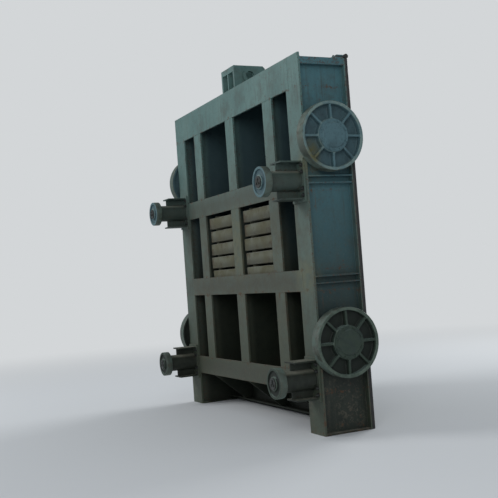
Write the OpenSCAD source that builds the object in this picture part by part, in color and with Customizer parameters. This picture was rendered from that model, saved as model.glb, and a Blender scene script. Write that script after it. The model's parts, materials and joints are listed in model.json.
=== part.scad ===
// Fixed wheel sluice gate leaf, welded from steel plate.
// X runs across the leaf, Y from the open girder side to the skin plate, Z upwards.
// The origin is on the floor under the middle of the part's outer box.

/* [Leaf] */
// Width over the outer edges of the end beam flanges
leaf_w = 3230; // [3000:10:4200]
// Height from the sill edge to the top of the front flanges
leaf_h = 3500; // [3350:10:4400]
// Depth from the flange faces to the back of the skin plate
leaf_depth = 500; // [460:10:620]
// Thickness of the skin plate
skin_t = 12; // [8:1:20]

/* [Girders] */
// Centre height of the lower girder
girder_lower_z = 477; // [420:1:560]
// Centre height of the middle girder
girder_middle_z = 1410; // [1300:1:1500]
// Distance of the upper girder's centre below the top of the leaf
girder_upper_drop = 1172; // [1080:1:1250]
// Height of a girder's front flange
girder_flange_h = 200; // [150:5:260]
// Height of the top beam's front flange
top_flange_h = 300; // [240:5:360]
// Thickness of the front flanges
flange_t = 20; // [14:1:30]
// Thickness of the girder webs
girder_web_t = 14; // [10:1:20]
// Diameter of the drain holes in the girder webs
drain_d = 70; // [40:5:100]
// Thickness of the top plate
top_plate_t = 16; // [12:1:25]
// Height of the front flanges above the top plate
top_upstand = 40; // [20:5:60]

/* [Diaphragms] */
// Distance between neighbouring diaphragms
bay_pitch = 927; // [880:1:960]
// Width of a diaphragm's front flange
diaphragm_flange_w = 200; // [150:5:240]
// Thickness of a diaphragm's web
diaphragm_web_t = 12; // [8:1:20]
// Radius of the corner cut-outs beside the welds
scallop_r = 35; // [25:1:50]

/* [Skin stiffeners] */
// Depth of a stiffener from the skin to its flange face
stiffener_d = 90; // [70:5:105]
// Height of a stiffener's flange
stiffener_flange_h = 90; // [60:5:120]
// Plate thickness of the stiffeners
stiffener_t = 10; // [8:1:14]
// Gap around a stiffener where it passes through a diaphragm
stiffener_slot_gap = 3; // [2:1:6]
// Height of the sill bar's underside above the sill edge
sill_bar_z = 40; // [20:5:80]
// Thickness of the sill bar
sill_bar_t = 16; // [12:1:25]

/* [End beams] */
// Width of an end beam's flange
end_flange_w = 270; // [240:5:320]
// Thickness of the end beam webs
end_web_t = 14; // [10:1:20]
// Depth of the outer web behind the flange edge
end_recess = 60; // [50:5:75]
// Clear distance between the two webs
end_web_gap = 125; // [100:5:150]
// Thickness of the foot plate
foot_t = 16; // [12:1:25]
// Height of the stiffening channels on the outer web
end_rib_h = 76; // [60:2:100]
// Plate thickness of the stiffening channels
end_rib_t = 12; // [8:1:16]
// Height of the edge strip under the top plate
edge_strip_h = 50; // [30:5:70]

/* [Main wheels] */
// Diameter of the tread
wheel_d = 640; // [560:10:660]
// Width of the tread
wheel_w = 115; // [90:5:130]
// Centre height of the lower wheels
wheel_lower_z = 830; // [800:10:980]
// Distance of the upper wheels' centres below the top of the leaf
wheel_upper_drop = 790; // [690:10:810]
// Distance of the wheel centres behind the flange faces
wheel_y = 240; // [230:5:260]
// Thickness of the rim
rim_t = 30; // [26:1:40]
// Thickness of the cast web
wheel_web_t = 26; // [18:1:34]
// Setback of the web behind the tread's inner edge, at the rim
web_set_rim = 34; // [26:1:42]
// Setback of the web behind the tread's inner edge, at the hub
web_set_hub = 22; // [14:1:30]
// Bevel at the edges of the cast wheels
cast_edge = 5; // [3:1:6]
// Diameter of the hub
hub_d = 310; // [280:5:330]
// Length of the hub
hub_len = 122; // [116:1:140]
// Number of ribs
wheel_ribs = 8; // [6:1:10]
// Thickness of a rib
wheel_rib_t = 22; // [16:1:28]
// Distance of a rib's outer edge below the edges of rim and hub
wheel_rib_drop = 10; // [5:1:15]
// Diameter of the axle
axle_d = 110; // [90:5:120]
// Diameter of the axle's boss in the end beam
axle_boss_d = 210; // [180:5:240]
// Gap between the flange edge and the hub
hub_gap = 10; // [8:1:20]
// Diameter of the collar and the retaining disc on the axle
axle_collar_d = 170; // [150:5:180]
// Thickness of the retaining disc
axle_disc_t = 16; // [12:1:20]
// Thickness of the axle's head inside the end beam
axle_head_t = 16; // [12:1:25]
// Depth of the recess in the hub for the retaining disc
hub_recess = 34; // [30:1:40]
// Clearance round the retaining disc in the recess
hub_recess_room = 10; // [5:1:15]
// Distance of the hub cap's edge inside the edge of the hub
cap_inset = 6; // [3:1:10]
// Thickness of the hub cap's flange
cap_flange_t = 10; // [8:1:14]
// Bevel at the hub cap's edge
cap_bevel = 2; // [1:1:4]
// Height of the hub cap's raised middle
cap_dome_h = 12; // [8:1:20]
// Width of the bolting edge round the hub cap's raised middle
cap_edge = 28; // [22:1:40]

/* [Guide wheels] */
// Diameter of a guide wheel
guide_d = 280; // [260:10:340]
// Width of a guide wheel
guide_w = 70; // [50:5:80]
// Distance of a guide wheel's inner face in front of the flanges
guide_reach = 345; // [320:5:380]
// Thickness of a guide wheel's rim
guide_rim_t = 24; // [18:1:30]
// Depth of the shallow recess in a guide wheel's faces
guide_dish = 14; // [8:1:22]
// Diameter of a guide wheel's hub
guide_hub_d = 130; // [120:5:150]
// Length of a guide wheel's hub
guide_hub_len = 78; // [74:1:90]
// Height of the lower guide wheels above the lower girder's centre
guide_rise = 35; // [0:5:60]
// Diameter of a guide wheel's pin
guide_pin_d = 70; // [50:5:80]
// Gap between the bracket's boss and the hub
guide_boss_gap = 5; // [4:1:10]
// Diameter of the pin's collar between the boss and the hub
guide_collar_d = 90; // [85:5:110]
// Diameter of the bracket's boss
bracket_boss_d = 190; // [160:5:210]
// Width of the bracket's base plate
bracket_base_w = 240; // [220:5:260]
// Height of the bracket's base plate
bracket_base_h = 400; // [390:5:440]
// Thickness of the bracket's base plate
bracket_base_t = 20; // [16:1:25]
// Height of the bracket's cheek plates above and below the boss centre
bracket_plate_z = 170; // [150:5:180]
// Width of the bracket's cheek plates
bracket_plate_w = 200; // [160:5:220]
// Length of the bracket's cheek plates
bracket_plate_len = 240; // [200:5:280]
// Thickness of the bracket's plates
bracket_plate_t = 14; // [10:1:18]
// Depth of the pin's seat in the boss
guide_pin_seat = 240; // [180:5:260]
// Diameter of the disc that retains a guide wheel
guide_disc_d = 110; // [90:5:120]
// Thickness of the disc that retains a guide wheel
guide_disc_t = 10; // [8:1:14]

/* [Lifting lug] */
// Height of the lug above the top plate
lug_h = 290; // [280:5:360]
// Distance between the two outer lug plates, centre to centre
lug_spread = 300; // [240:5:340]
// Thickness of the outer lug plates
lug_plate_t = 30; // [24:1:36]
// Thickness of the middle lug plate
lug_middle_t = 20; // [16:1:26]
// Setback of the lug from the front flange and from the top seal's seat
lug_setback = 10; // [5:1:30]
// Diameter of the lifting pin's bore
lug_bore_d = 100; // [80:2:110]
// Height of the bore's centre above the top plate
lug_bore_z = 180; // [160:5:190]
// Diameter of the doubler discs round the bore
lug_doubler_d = 170; // [150:5:180]
// Thickness of the doubler discs
lug_doubler_t = 12; // [8:1:16]
// Height of the tie plates between the lug plates
lug_tie_h = 60; // [50:5:80]
// Thickness of the tie plates
lug_tie_t = 16; // [12:1:20]
// Corner cut at the top of the lug plates
lug_corner = 25; // [15:5:60]

/* [Ballast] */
// Width of a ballast block
ballast_w = 700; // [640:5:710]
// Height of a ballast block's body
ballast_h = 126; // [110:1:128]
// Height of the nibs that keep the blocks apart
ballast_nib_h = 24; // [18:1:24]
// Diameter of the nibs
ballast_nib_d = 90; // [70:5:110]
// Distance of the blocks behind the flange faces
ballast_setback = 34; // [28:1:40]
// Distance of the blocks in front of the skin stiffeners
ballast_gap = 14; // [9:1:60]
// Height of the bearer bars under a stack
ballast_bearer_h = 44; // [30:1:50]
// Least clear height over a stack, for lifting its blocks in
ballast_room = 60; // [30:5:90]

/* [Seals] */
// Diameter of the seal bulb
bulb_d = 44; // [36:1:50]
// Thickness of the seal's flat tail
seal_t = 12; // [10:1:16]
// Width of the seal's tail from the bulb's centre
seal_tail = 110; // [95:5:120]
// Distance of the bulb's centre inside the flange edge
seal_inset = 26; // [25:1:40]
// Width of the clamp bars
clamp_w = 70; // [50:5:70]
// Thickness of the clamp bars
clamp_t = 10; // [8:1:14]
// Height of the flat bottom seal
bottom_seal_h = 100; // [80:5:130]
// Width of the top seal's seat
top_seat_w = 75; // [72:1:90]

/* [Fits] */
// Radial clearance of the axles and pins in their bores
running_gap = 0.05; // [0.02:0.01:0.09]
// End clearance of a wheel between its collar and its disc
end_gap = 0.5; // [0.3:0.1:0.9]

/* [Hidden] */
$fn = 96;
eps = 1;
left = -1;
right = 1;
upper = 1;
lower = 0;
half_w = leaf_w / 2;
skin_y = leaf_depth - skin_t;
guide_front = guide_reach + (guide_hub_len + guide_w) / 2 + end_gap + guide_disc_t;
face_y = (guide_front - wheel_y - wheel_d / 2) / 2;
top_web_z = leaf_h - top_flange_h / 2;
plate_top_z = leaf_h - top_upstand;
plate_under_z = plate_top_z - top_plate_t;
end_flange_x = half_w - end_flange_w;
outer_web_x = half_w - end_recess;
inner_web_x = outer_web_x - end_web_gap - 2 * end_web_t;
boss_end_x = half_w + hub_gap / 2;
hub_x = half_w + hub_gap;
tread_a = (hub_len - wheel_w) / 2;
tread_b = tread_a + wheel_w;
guide_x = half_w - end_flange_w / 2;
guide_hub_y = guide_reach - (guide_hub_len - guide_w) / 2;
guide_boss_y = guide_hub_y - guide_boss_gap;
guide_lower_z = girder_lower_z + guide_rise;
lug_depth = skin_y - top_seat_w - flange_t - 2 * lug_setback;
lug_y = flange_t + lug_setback + lug_depth / 2;
lug_outer_x = lug_spread / 2 + lug_plate_t / 2;
ballast_d = skin_y - stiffener_d - ballast_gap - ballast_setback;
ballast_pitch = ballast_h + ballast_nib_h;
seal_x = half_w - seal_inset;
girder_upper_z = leaf_h - girder_upper_drop;
wheel_upper_z = leaf_h - wheel_upper_drop;
girder_levels = [girder_lower_z, girder_middle_z, girder_upper_z, top_web_z];
ballast_count = floor((girder_upper_z - girder_middle_z - girder_web_t - ballast_bearer_h - ballast_room)
    / ballast_pitch);
flange_reach = [girder_flange_h / 2, girder_flange_h / 2, girder_flange_h / 2, top_flange_h / 2];
paint = "#7d857f";
cast = "#6f7a78";
rubber = "#202224";
iron = "#a08a78";

// Moves a shape from the flange faces' own Y to the part's frame
module leaf() {
    translate([0, face_y, 0]) children();
}

// Turns a right-hand shape to the side asked for
module on_side(side) {
    if (side == right) children();
    else mirror([1, 0, 0]) children();
}

// A plate between two corners
module block(low, high) {
    translate(low) cube(high - low);
}

// A cylinder along X
module rod_x(x0, x1, y, z, d) {
    translate([x0, y, z]) rotate([0, 90, 0]) cylinder(h = x1 - x0, d = d);
}

// A cylinder along Y
module rod_y(y0, y1, x, z, d) {
    translate([x, y1, z]) rotate([90, 0, 0]) cylinder(h = y1 - y0, d = d);
}

module skin_plate() {
    color(paint) leaf() block([-half_w, skin_y, 0], [half_w, leaf_depth, plate_top_z]);
}

// A girder: a horizontal web with a front flange, and a drain hole in each bay
module girder(z) {
    hole_x = (bay_pitch + inner_web_x) / 2;
    color(paint) leaf() difference() {
        union() {
            block([-end_flange_x, 0, z - girder_flange_h / 2],
                [end_flange_x, flange_t, z + girder_flange_h / 2]);
            block([-inner_web_x, flange_t, z - girder_web_t / 2],
                [inner_web_x, skin_y, z + girder_web_t / 2]);
        }
        for (x = [-hole_x, -bay_pitch / 2, bay_pitch / 2, hole_x])
            translate([x, skin_y - stiffener_d, z - girder_web_t])
                cylinder(h = 2 * girder_web_t, d = drain_d);
    }
}

module top_beam() {
    color(paint) leaf() {
        block([-end_flange_x, 0, leaf_h - top_flange_h], [end_flange_x, flange_t, leaf_h]);
        block([-inner_web_x, flange_t, top_web_z - girder_web_t / 2],
            [inner_web_x, skin_y, top_web_z + girder_web_t / 2]);
        block([-half_w, flange_t, plate_under_z], [half_w, skin_y, plate_top_z]);
    }
}

// One panel of a diaphragm between two girder webs, with its cut corners and stiffener slot
module diaphragm_panel(low, high, slot_z) {
    difference() {
        block([-diaphragm_web_t / 2, flange_t, low], [diaphragm_web_t / 2, skin_y, high]);
        for (y = [flange_t, skin_y], z = [low, high])
            rod_x(-diaphragm_web_t, diaphragm_web_t, y, z, 2 * scallop_r);
        stiffener_slot(slot_z);
    }
}

module stiffener_slot(z) {
    gap = stiffener_slot_gap;
    block([-diaphragm_web_t, skin_y - stiffener_d - gap, z - stiffener_flange_h / 2 - gap],
        [diaphragm_web_t, skin_y + eps, z + stiffener_flange_h / 2 + gap]);
}

// The tapered gusset below the lower girder, on the sill bar
module sill_gusset() {
    high = girder_lower_z - girder_web_t / 2;
    low = sill_bar_z + sill_bar_t;
    translate([diaphragm_web_t / 2, 0, 0]) rotate([90, 0, -90])
        linear_extrude(diaphragm_web_t)
            polygon([[-skin_y, low], [-skin_y + stiffener_d, low], [-flange_t, high - girder_flange_h / 2],
                [-flange_t, high], [-skin_y, high]]);
}

module diaphragm(x) {
    color(paint) leaf() translate([x, 0, 0]) {
        for (i = [0:2]) {
            low = girder_levels[i];
            high = girder_levels[i + 1];
            diaphragm_panel(low + girder_web_t / 2, high - girder_web_t / 2, (low + high) / 2);
            block([-diaphragm_flange_w / 2, 0, low + flange_reach[i]],
                [diaphragm_flange_w / 2, flange_t, high - flange_reach[i + 1]]);
        }
        sill_gusset();
    }
}

// A skin stiffener of T section that runs through the diaphragms
module stiffener(z) {
    color(paint) leaf() {
        block([-inner_web_x, skin_y - stiffener_d, z - stiffener_flange_h / 2],
            [inner_web_x, skin_y - stiffener_d + stiffener_t, z + stiffener_flange_h / 2]);
        block([-inner_web_x, skin_y - stiffener_d + stiffener_t, z - stiffener_t / 2],
            [inner_web_x, skin_y, z + stiffener_t / 2]);
    }
}

module sill_bar() {
    color(paint) leaf() block([-inner_web_x, skin_y - stiffener_d, sill_bar_z],
        [inner_web_x, skin_y, sill_bar_z + sill_bar_t]);
}

// A stiffening channel on the outer web, open to the side
module end_rib(z) {
    for (s = [-1, 1])
        block([outer_web_x, flange_t, z + s * (end_rib_h - end_rib_t) / 2 - end_rib_t / 2],
            [half_w, skin_y, z + s * (end_rib_h - end_rib_t) / 2 + end_rib_t / 2]);
}

module end_beam(side) {
    color(paint) leaf() on_side(side) difference() {
        union() {
            block([end_flange_x, 0, 0], [half_w, flange_t, leaf_h]);
            block([end_flange_x, flange_t, 0], [half_w, skin_y, foot_t]);
            for (x = [inner_web_x, outer_web_x - end_web_t])
                block([x, flange_t, 0], [x + end_web_t, skin_y, plate_under_z]);
            for (z = [girder_middle_z, girder_upper_z]) end_rib(z);
            block([half_w - end_rib_t, flange_t, plate_under_z - edge_strip_h],
                [half_w, skin_y, plate_under_z]);
            for (z = [wheel_lower_z, wheel_upper_z])
                rod_x(inner_web_x, boss_end_x, wheel_y, z, axle_boss_d);
        }
        for (z = [wheel_lower_z, wheel_upper_z])
            rod_x(inner_web_x - eps, boss_end_x + eps, wheel_y, z, axle_d + 2 * running_gap);
    }
}

// The lug plate's outline, seen from the side
module lug_plate(t) {
    rotate([90, 0, 90]) translate([0, 0, -t / 2]) linear_extrude(t)
        polygon([[-lug_depth / 2, 0], [lug_depth / 2, 0], [lug_depth / 2, lug_h - lug_corner],
            [lug_depth / 2 - lug_corner, lug_h], [-lug_depth / 2, lug_h]]);
}

module lifting_lug() {
    color(paint) leaf() translate([0, lug_y, plate_top_z]) difference() {
        union() {
            for (s = [-1, 1]) translate([s * lug_spread / 2, 0, 0]) lug_plate(lug_plate_t);
            lug_plate(lug_middle_t);
            for (s = [-1, 1]) {
                x0 = s > 0 ? lug_outer_x : -lug_outer_x - lug_doubler_t;
                rod_x(x0, x0 + lug_doubler_t, 0, lug_bore_z, lug_doubler_d);
            }
            block([-lug_outer_x, -lug_depth / 2, lug_h - lug_tie_h],
                [lug_outer_x, lug_tie_t - lug_depth / 2, lug_h]);
            block([-lug_outer_x, lug_depth / 2 - lug_tie_t, lug_h - lug_corner - lug_tie_h],
                [lug_outer_x, lug_depth / 2, lug_h - lug_corner]);
        }
        rod_x(-lug_outer_x - lug_doubler_t - eps, lug_outer_x + lug_doubler_t + eps, 0, lug_bore_z,
            lug_bore_d);
    }
}

// One cast block with the four nibs that carry the block above
module ballast_block() {
    nib_x = ballast_w / 2 - ballast_nib_d;
    block([-ballast_w / 2, 0, 0], [ballast_w / 2, ballast_d, ballast_h]);
    for (x = [-nib_x, nib_x], y = [ballast_nib_d, ballast_d - ballast_nib_d])
        translate([x, y, ballast_h]) cylinder(h = ballast_nib_h, d = ballast_nib_d);
}

module ballast(side) {
    base_z = girder_middle_z + girder_web_t / 2;
    color(iron) leaf() translate([side * bay_pitch / 2, ballast_setback, base_z]) {
        for (x = [-ballast_w / 2, ballast_w / 2 - ballast_nib_d])
            block([x, 0, 0], [x + ballast_nib_d, ballast_d, ballast_bearer_h]);
        for (i = [0:ballast_count - 1])
            translate([0, 0, ballast_bearer_h + i * ballast_pitch]) ballast_block();
    }
}

// A bulb seal's section: the tail lies on the plate and the bulb's centre is over its end
module bulb_section() {
    translate([0, bulb_d / 2]) circle(d = bulb_d);
    translate([-seal_tail, 0]) square([seal_tail, seal_t]);
}

module side_seal(side) {
    color(rubber) leaf() on_side(side) translate([seal_x, leaf_depth, 0])
        linear_extrude(plate_top_z) bulb_section();
}

module top_seal() {
    bulb_y = leaf_depth + bulb_d / 2;
    color(rubber) leaf() translate([-half_w, 0, plate_top_z]) rotate([90, 0, 90]) linear_extrude(leaf_w) {
        translate([bulb_y, bulb_d / 2]) circle(d = bulb_d);
        translate([skin_y - top_seat_w, clamp_t]) square([bulb_y - skin_y + top_seat_w, seal_t]);
    }
}

module bottom_seal() {
    reach = seal_x - seal_tail;
    color(rubber) leaf() block([-reach, leaf_depth, 0], [reach, leaf_depth + seal_t, bottom_seal_h]);
}

module seal_clamps() {
    tail_x = seal_x - seal_tail;
    clamp_y = leaf_depth + seal_t;
    bar_z = plate_top_z + clamp_t + seal_t;
    color(paint) leaf() {
        for (side = [left, right]) on_side(side)
            block([tail_x, clamp_y, bottom_seal_h], [tail_x + clamp_w, clamp_y + clamp_t, plate_top_z]);
        block([-tail_x, clamp_y, bottom_seal_h / 4], [tail_x, clamp_y + clamp_t, bottom_seal_h]);
        block([-half_w, skin_y - top_seat_w, plate_top_z], [half_w, skin_y, plate_top_z + clamp_t]);
        block([-half_w, skin_y - clamp_w, bar_z], [half_w, skin_y, bar_z + clamp_t]);
    }
}

// A cast main wheel: rim, dished web, hub, and ribs on the outer side
module main_wheel(side, z) {
    color(cast) leaf() on_side(side) translate([hub_x, wheel_y, z]) rotate([0, 90, 0]) difference() {
        union() {
            rotate_extrude() wheel_section();
            for (i = [0:wheel_ribs - 1]) rotate([90, 0, i * 360 / wheel_ribs])
                translate([0, 0, -wheel_rib_t / 2]) linear_extrude(wheel_rib_t) wheel_rib_outline();
        }
        translate([0, 0, hub_len - hub_recess])
            cylinder(h = hub_recess + eps, d = axle_collar_d + 2 * hub_recess_room);
    }
}

// Half of the main wheel's section, from the hub's inner face upwards
module wheel_section() {
    r = wheel_d / 2;
    in_r = r - rim_t;
    hub_r = hub_d / 2;
    bore_r = axle_d / 2 + running_gap;
    fillet = wheel_web_t / 2;
    at_rim = tread_a + web_set_rim;
    at_hub = tread_a + web_set_hub;
    polygon([[in_r, tread_a], [r - cast_edge, tread_a], [r, tread_a + cast_edge], [r, tread_b - cast_edge],
        [r - cast_edge, tread_b], [in_r, tread_b]]);
    polygon([[hub_r, at_hub], [in_r, at_rim], [in_r, at_rim + wheel_web_t + fillet],
        [in_r - fillet, at_rim + wheel_web_t], [hub_r + fillet, at_hub + wheel_web_t],
        [hub_r, at_hub + wheel_web_t + fillet]]);
    polygon([[bore_r, 0], [hub_r - cast_edge, 0], [hub_r, cast_edge], [hub_r, hub_len - cast_edge],
        [hub_r - cast_edge, hub_len], [bore_r, hub_len]]);
}

// A rib's outline between hub and rim, sunk a little into both
module wheel_rib_outline() {
    in_r = wheel_d / 2 - rim_t + cast_edge;
    hub_r = hub_d / 2 - cast_edge;
    half_web = wheel_web_t / 2;
    polygon([[hub_r, tread_a + web_set_hub + half_web], [in_r, tread_a + web_set_rim + half_web],
        [in_r, tread_b - wheel_rib_drop], [hub_r, hub_len - wheel_rib_drop]]);
}

module hub_cap(side, z) {
    cap_r = hub_d / 2 - cap_inset;
    dome_r = cap_r - cap_edge;
    color(cast) leaf() on_side(side) translate([hub_x + hub_len, wheel_y, z]) rotate([0, 90, 0])
        rotate_extrude() polygon([[0, 0], [cap_r, 0], [cap_r, cap_flange_t - cap_bevel],
            [cap_r - cap_bevel, cap_flange_t], [dome_r, cap_flange_t],
            [dome_r - cap_dome_h, cap_flange_t + cap_dome_h], [0, cap_flange_t + cap_dome_h]]);
}

// A fixed axle with its inner head, thrust collar and retaining disc
module axle(side, z) {
    disc_x = hub_x + hub_len - hub_recess + end_gap;
    color(cast) leaf() on_side(side) {
        rod_x(inner_web_x - axle_head_t, disc_x + axle_disc_t, wheel_y, z, axle_d);
        rod_x(inner_web_x - axle_head_t, inner_web_x, wheel_y, z, axle_collar_d);
        rod_x(boss_end_x, hub_x - end_gap, wheel_y, z, axle_collar_d);
        rod_x(disc_x, disc_x + axle_disc_t, wheel_y, z, axle_collar_d);
    }
}

// A turned guide wheel with a shallow recess in each face
module guide_wheel(side, z) {
    r = guide_d / 2;
    in_r = r - guide_rim_t;
    hub_r = guide_hub_d / 2;
    bore_r = guide_pin_d / 2 + running_gap;
    a0 = (guide_hub_len - guide_w) / 2;
    a1 = a0 + guide_w;
    color(cast) leaf() on_side(side) translate([guide_x, -guide_hub_y, z]) rotate([90, 0, 0])
        rotate_extrude() polygon([[bore_r, 0], [hub_r, 0], [hub_r + cast_edge, a0 + guide_dish],
            [in_r - cast_edge, a0 + guide_dish], [in_r, a0], [r - cast_edge, a0], [r, a0 + cast_edge],
            [r, a1 - cast_edge], [r - cast_edge, a1], [in_r, a1], [in_r - cast_edge, a1 - guide_dish],
            [hub_r + cast_edge, a1 - guide_dish], [hub_r, guide_hub_len], [bore_r, guide_hub_len]]);
}

// A fixed pin with the collar behind the wheel and the disc in front of it
module guide_pin(side, z) {
    disc_y = guide_hub_y + guide_hub_len + end_gap;
    color(cast) leaf() on_side(side) {
        rod_y(-disc_y - guide_disc_t, guide_pin_seat - guide_boss_y, guide_x, z, guide_pin_d);
        rod_y(-guide_hub_y + end_gap, -guide_boss_y, guide_x, z, guide_collar_d);
        rod_y(-disc_y - guide_disc_t, -disc_y, guide_x, z, guide_disc_d);
    }
}

// A bracket on the end beam's flange: base plate, boss, two cheek plates and a web above and below
module guide_bracket(side, z) {
    half_t = bracket_plate_t / 2;
    boss_r = bracket_boss_d / 2;
    color(paint) leaf() on_side(side) translate([guide_x, 0, z]) difference() {
        union() {
            block([-bracket_base_w / 2, -bracket_base_t, -bracket_base_h / 2],
                [bracket_base_w / 2, 0, bracket_base_h / 2]);
            rod_y(-guide_boss_y, -bracket_base_t, 0, 0, bracket_boss_d);
            for (s = [-1, 1]) {
                block([-bracket_plate_w / 2, -bracket_plate_len, s * bracket_plate_z - half_t],
                    [bracket_plate_w / 2, -bracket_base_t, s * bracket_plate_z + half_t]);
                block([-half_t, -bracket_plate_len, s > 0 ? boss_r - eps : -bracket_plate_z],
                    [half_t, -bracket_base_t, s > 0 ? bracket_plate_z : eps - boss_r]);
            }
        }
        rod_y(-guide_boss_y - eps, guide_pin_seat - guide_boss_y, 0, 0, guide_pin_d + 2 * running_gap);
    }
}

skin_plate();
top_beam();
girder(girder_upper_z);  // girder_upper
girder(girder_middle_z);  // girder_middle
girder(girder_lower_z);  // girder_lower
diaphragm(-bay_pitch);  // diaphragm_left
diaphragm(0);  // diaphragm_middle
diaphragm(bay_pitch);  // diaphragm_right
end_beam(left);  // end_beam_left
end_beam(right);  // end_beam_right
stiffener((girder_upper_z + top_web_z) / 2);  // stiffener_top
stiffener((girder_middle_z + girder_upper_z) / 2);  // stiffener_middle
stiffener((girder_lower_z + girder_middle_z) / 2);  // stiffener_bottom
sill_bar();
lifting_lug();
ballast(left);  // ballast_left
ballast(right);  // ballast_right
side_seal(left);  // side_seal_left
side_seal(right);  // side_seal_right
top_seal();
bottom_seal();
seal_clamps();
axle(left, wheel_upper_z);  // axle_upper_left
axle(right, wheel_upper_z);  // axle_upper_right
axle(left, wheel_lower_z);  // axle_lower_left
axle(right, wheel_lower_z);  // axle_lower_right
main_wheel(left, wheel_upper_z);  // main_wheel_upper_left
main_wheel(right, wheel_upper_z);  // main_wheel_upper_right
main_wheel(left, wheel_lower_z);  // main_wheel_lower_left
main_wheel(right, wheel_lower_z);  // main_wheel_lower_right
hub_cap(left, wheel_upper_z);  // hub_cap_upper_left
hub_cap(right, wheel_upper_z);  // hub_cap_upper_right
hub_cap(left, wheel_lower_z);  // hub_cap_lower_left
hub_cap(right, wheel_lower_z);  // hub_cap_lower_right
guide_bracket(left, girder_upper_z);  // guide_bracket_upper_left
guide_bracket(right, girder_upper_z);  // guide_bracket_upper_right
guide_bracket(left, guide_lower_z);  // guide_bracket_lower_left
guide_bracket(right, guide_lower_z);  // guide_bracket_lower_right
guide_pin(left, girder_upper_z);  // guide_pin_upper_left
guide_pin(right, girder_upper_z);  // guide_pin_upper_right
guide_pin(left, guide_lower_z);  // guide_pin_lower_left
guide_pin(right, guide_lower_z);  // guide_pin_lower_right
guide_wheel(left, girder_upper_z);  // guide_wheel_upper_left
guide_wheel(right, girder_upper_z);  // guide_wheel_upper_right
guide_wheel(left, guide_lower_z);  // guide_wheel_lower_left
guide_wheel(right, guide_lower_z);  // guide_wheel_lower_right
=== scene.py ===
"""Dress a fixed wheel sluice gate with its finishes, castings, bolts and weld beads.

The leaf stands on the floor with +X across it, its open girder side to -Y and its skin
plate and seals to +Y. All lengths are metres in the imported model's own frame.
"""

from __future__ import annotations

import json
import logging
import math
from collections.abc import Sequence
from dataclasses import dataclass, field
from enum import Enum

import bpy
from mathutils import Matrix, Vector

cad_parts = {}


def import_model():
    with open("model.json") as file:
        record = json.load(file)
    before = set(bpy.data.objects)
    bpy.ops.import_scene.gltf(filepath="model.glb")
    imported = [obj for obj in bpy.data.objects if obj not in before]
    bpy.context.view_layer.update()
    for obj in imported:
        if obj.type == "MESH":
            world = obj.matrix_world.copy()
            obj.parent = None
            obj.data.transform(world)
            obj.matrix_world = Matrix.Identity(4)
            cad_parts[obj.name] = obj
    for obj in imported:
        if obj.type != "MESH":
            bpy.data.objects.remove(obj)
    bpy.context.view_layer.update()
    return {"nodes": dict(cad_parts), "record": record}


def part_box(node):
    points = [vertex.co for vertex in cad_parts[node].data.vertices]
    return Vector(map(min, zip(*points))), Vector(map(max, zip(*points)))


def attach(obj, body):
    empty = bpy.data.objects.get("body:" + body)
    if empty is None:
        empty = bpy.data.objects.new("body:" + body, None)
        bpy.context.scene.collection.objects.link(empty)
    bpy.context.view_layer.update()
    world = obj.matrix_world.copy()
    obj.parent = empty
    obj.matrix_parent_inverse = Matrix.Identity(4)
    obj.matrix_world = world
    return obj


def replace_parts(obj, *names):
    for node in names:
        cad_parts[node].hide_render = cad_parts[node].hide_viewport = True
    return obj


LOG = logging.getLogger("sluice_gate")
MM = 0.001
FLANGE_HALF = 100 * MM
AHEAD, BEHIND, UP = Vector((0, -1, 0)), Vector((0, 1, 0)), Vector((0, 0, 1))
Socket = bpy.types.NodeSocket
Material = bpy.types.Material
Object = bpy.types.Object


class Side(Enum):
    """The two ends of the leaf, as the sign of X."""

    LEFT = -1
    RIGHT = 1

    @property
    def outward(self) -> Vector:
        """Point away from the middle of the leaf."""
        return Vector((self.value, 0, 0))


class Level(Enum):
    """The two rows of wheels."""

    UPPER = "upper"
    LOWER = "lower"


class Part(Enum):
    """What a wheel face belongs to, as the number of its finish."""

    CASTING = 0
    TREAD = 1


CORNERS = [(level, side) for level in Level for side in Side]


def corner_name(stem: str, level: Level, side: Side) -> str:
    """Give the name of a piece at one corner, such as main_wheel_upper_left."""
    return f"{stem}_{level.value}_{side.name.lower()}"


def linear(hex_code: str) -> tuple[float, float, float, float]:
    """Turn an sRGB hex colour to linear RGBA.

    Args:
        hex_code: six hex digits with a leading hash.

    Returns:
        The colour in linear light with full alpha.
    """
    values = [int(hex_code[i : i + 2], 16) / 255 for i in (1, 3, 5)]
    steps = [v / 12.92 if v <= 0.04045 else ((v + 0.055) / 1.055) ** 2.4 for v in values]
    return (*steps, 1.0)


def facing(axis: Vector, place: Vector) -> Matrix:
    """Turn the Z axis to a direction and move the origin to a place."""
    turn = axis.normalized().to_track_quat("Z", "Y").to_matrix().to_4x4()
    return Matrix.Translation(place) @ turn


def circle(centre: Vector, axis: str, radius: float, count: int, start: float = 0.0) -> list[Vector]:
    """Space points evenly on a circle.

    Args:
        centre: the circle's centre.
        axis: the axis that the circle goes round, X or Y.
        radius: the circle's radius.
        count: number of points.
        start: angle of the first point.

    Returns:
        The points in order.
    """
    points = []
    for i in range(count):
        a = start + 2 * math.pi * i / count
        u, v = radius * math.cos(a), radius * math.sin(a)
        points.append(centre + Vector((0, u, v) if axis == "X" else (u, 0, v)))
    return points


def add_node(
    tree: bpy.types.NodeTree, kind: str, inputs: dict | None = None, **settings: object
) -> bpy.types.NodeOutputs:
    """Add a shader node with its settings and links.

    Args:
        tree: the node tree that gets the node.
        kind: the node's type name after ShaderNode.
        inputs: socket name or number, to a value or to the output socket that feeds it.
        **settings: properties of the node.

    Returns:
        The new node's outputs.
    """
    node = tree.nodes.new(f"ShaderNode{kind}")
    for name, value in settings.items():
        setattr(node, name, value)
    for key, value in (inputs or {}).items():
        if isinstance(value, Socket):
            tree.links.new(value, node.inputs[key])
        else:
            node.inputs[key].default_value = value
    return node.outputs


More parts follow.
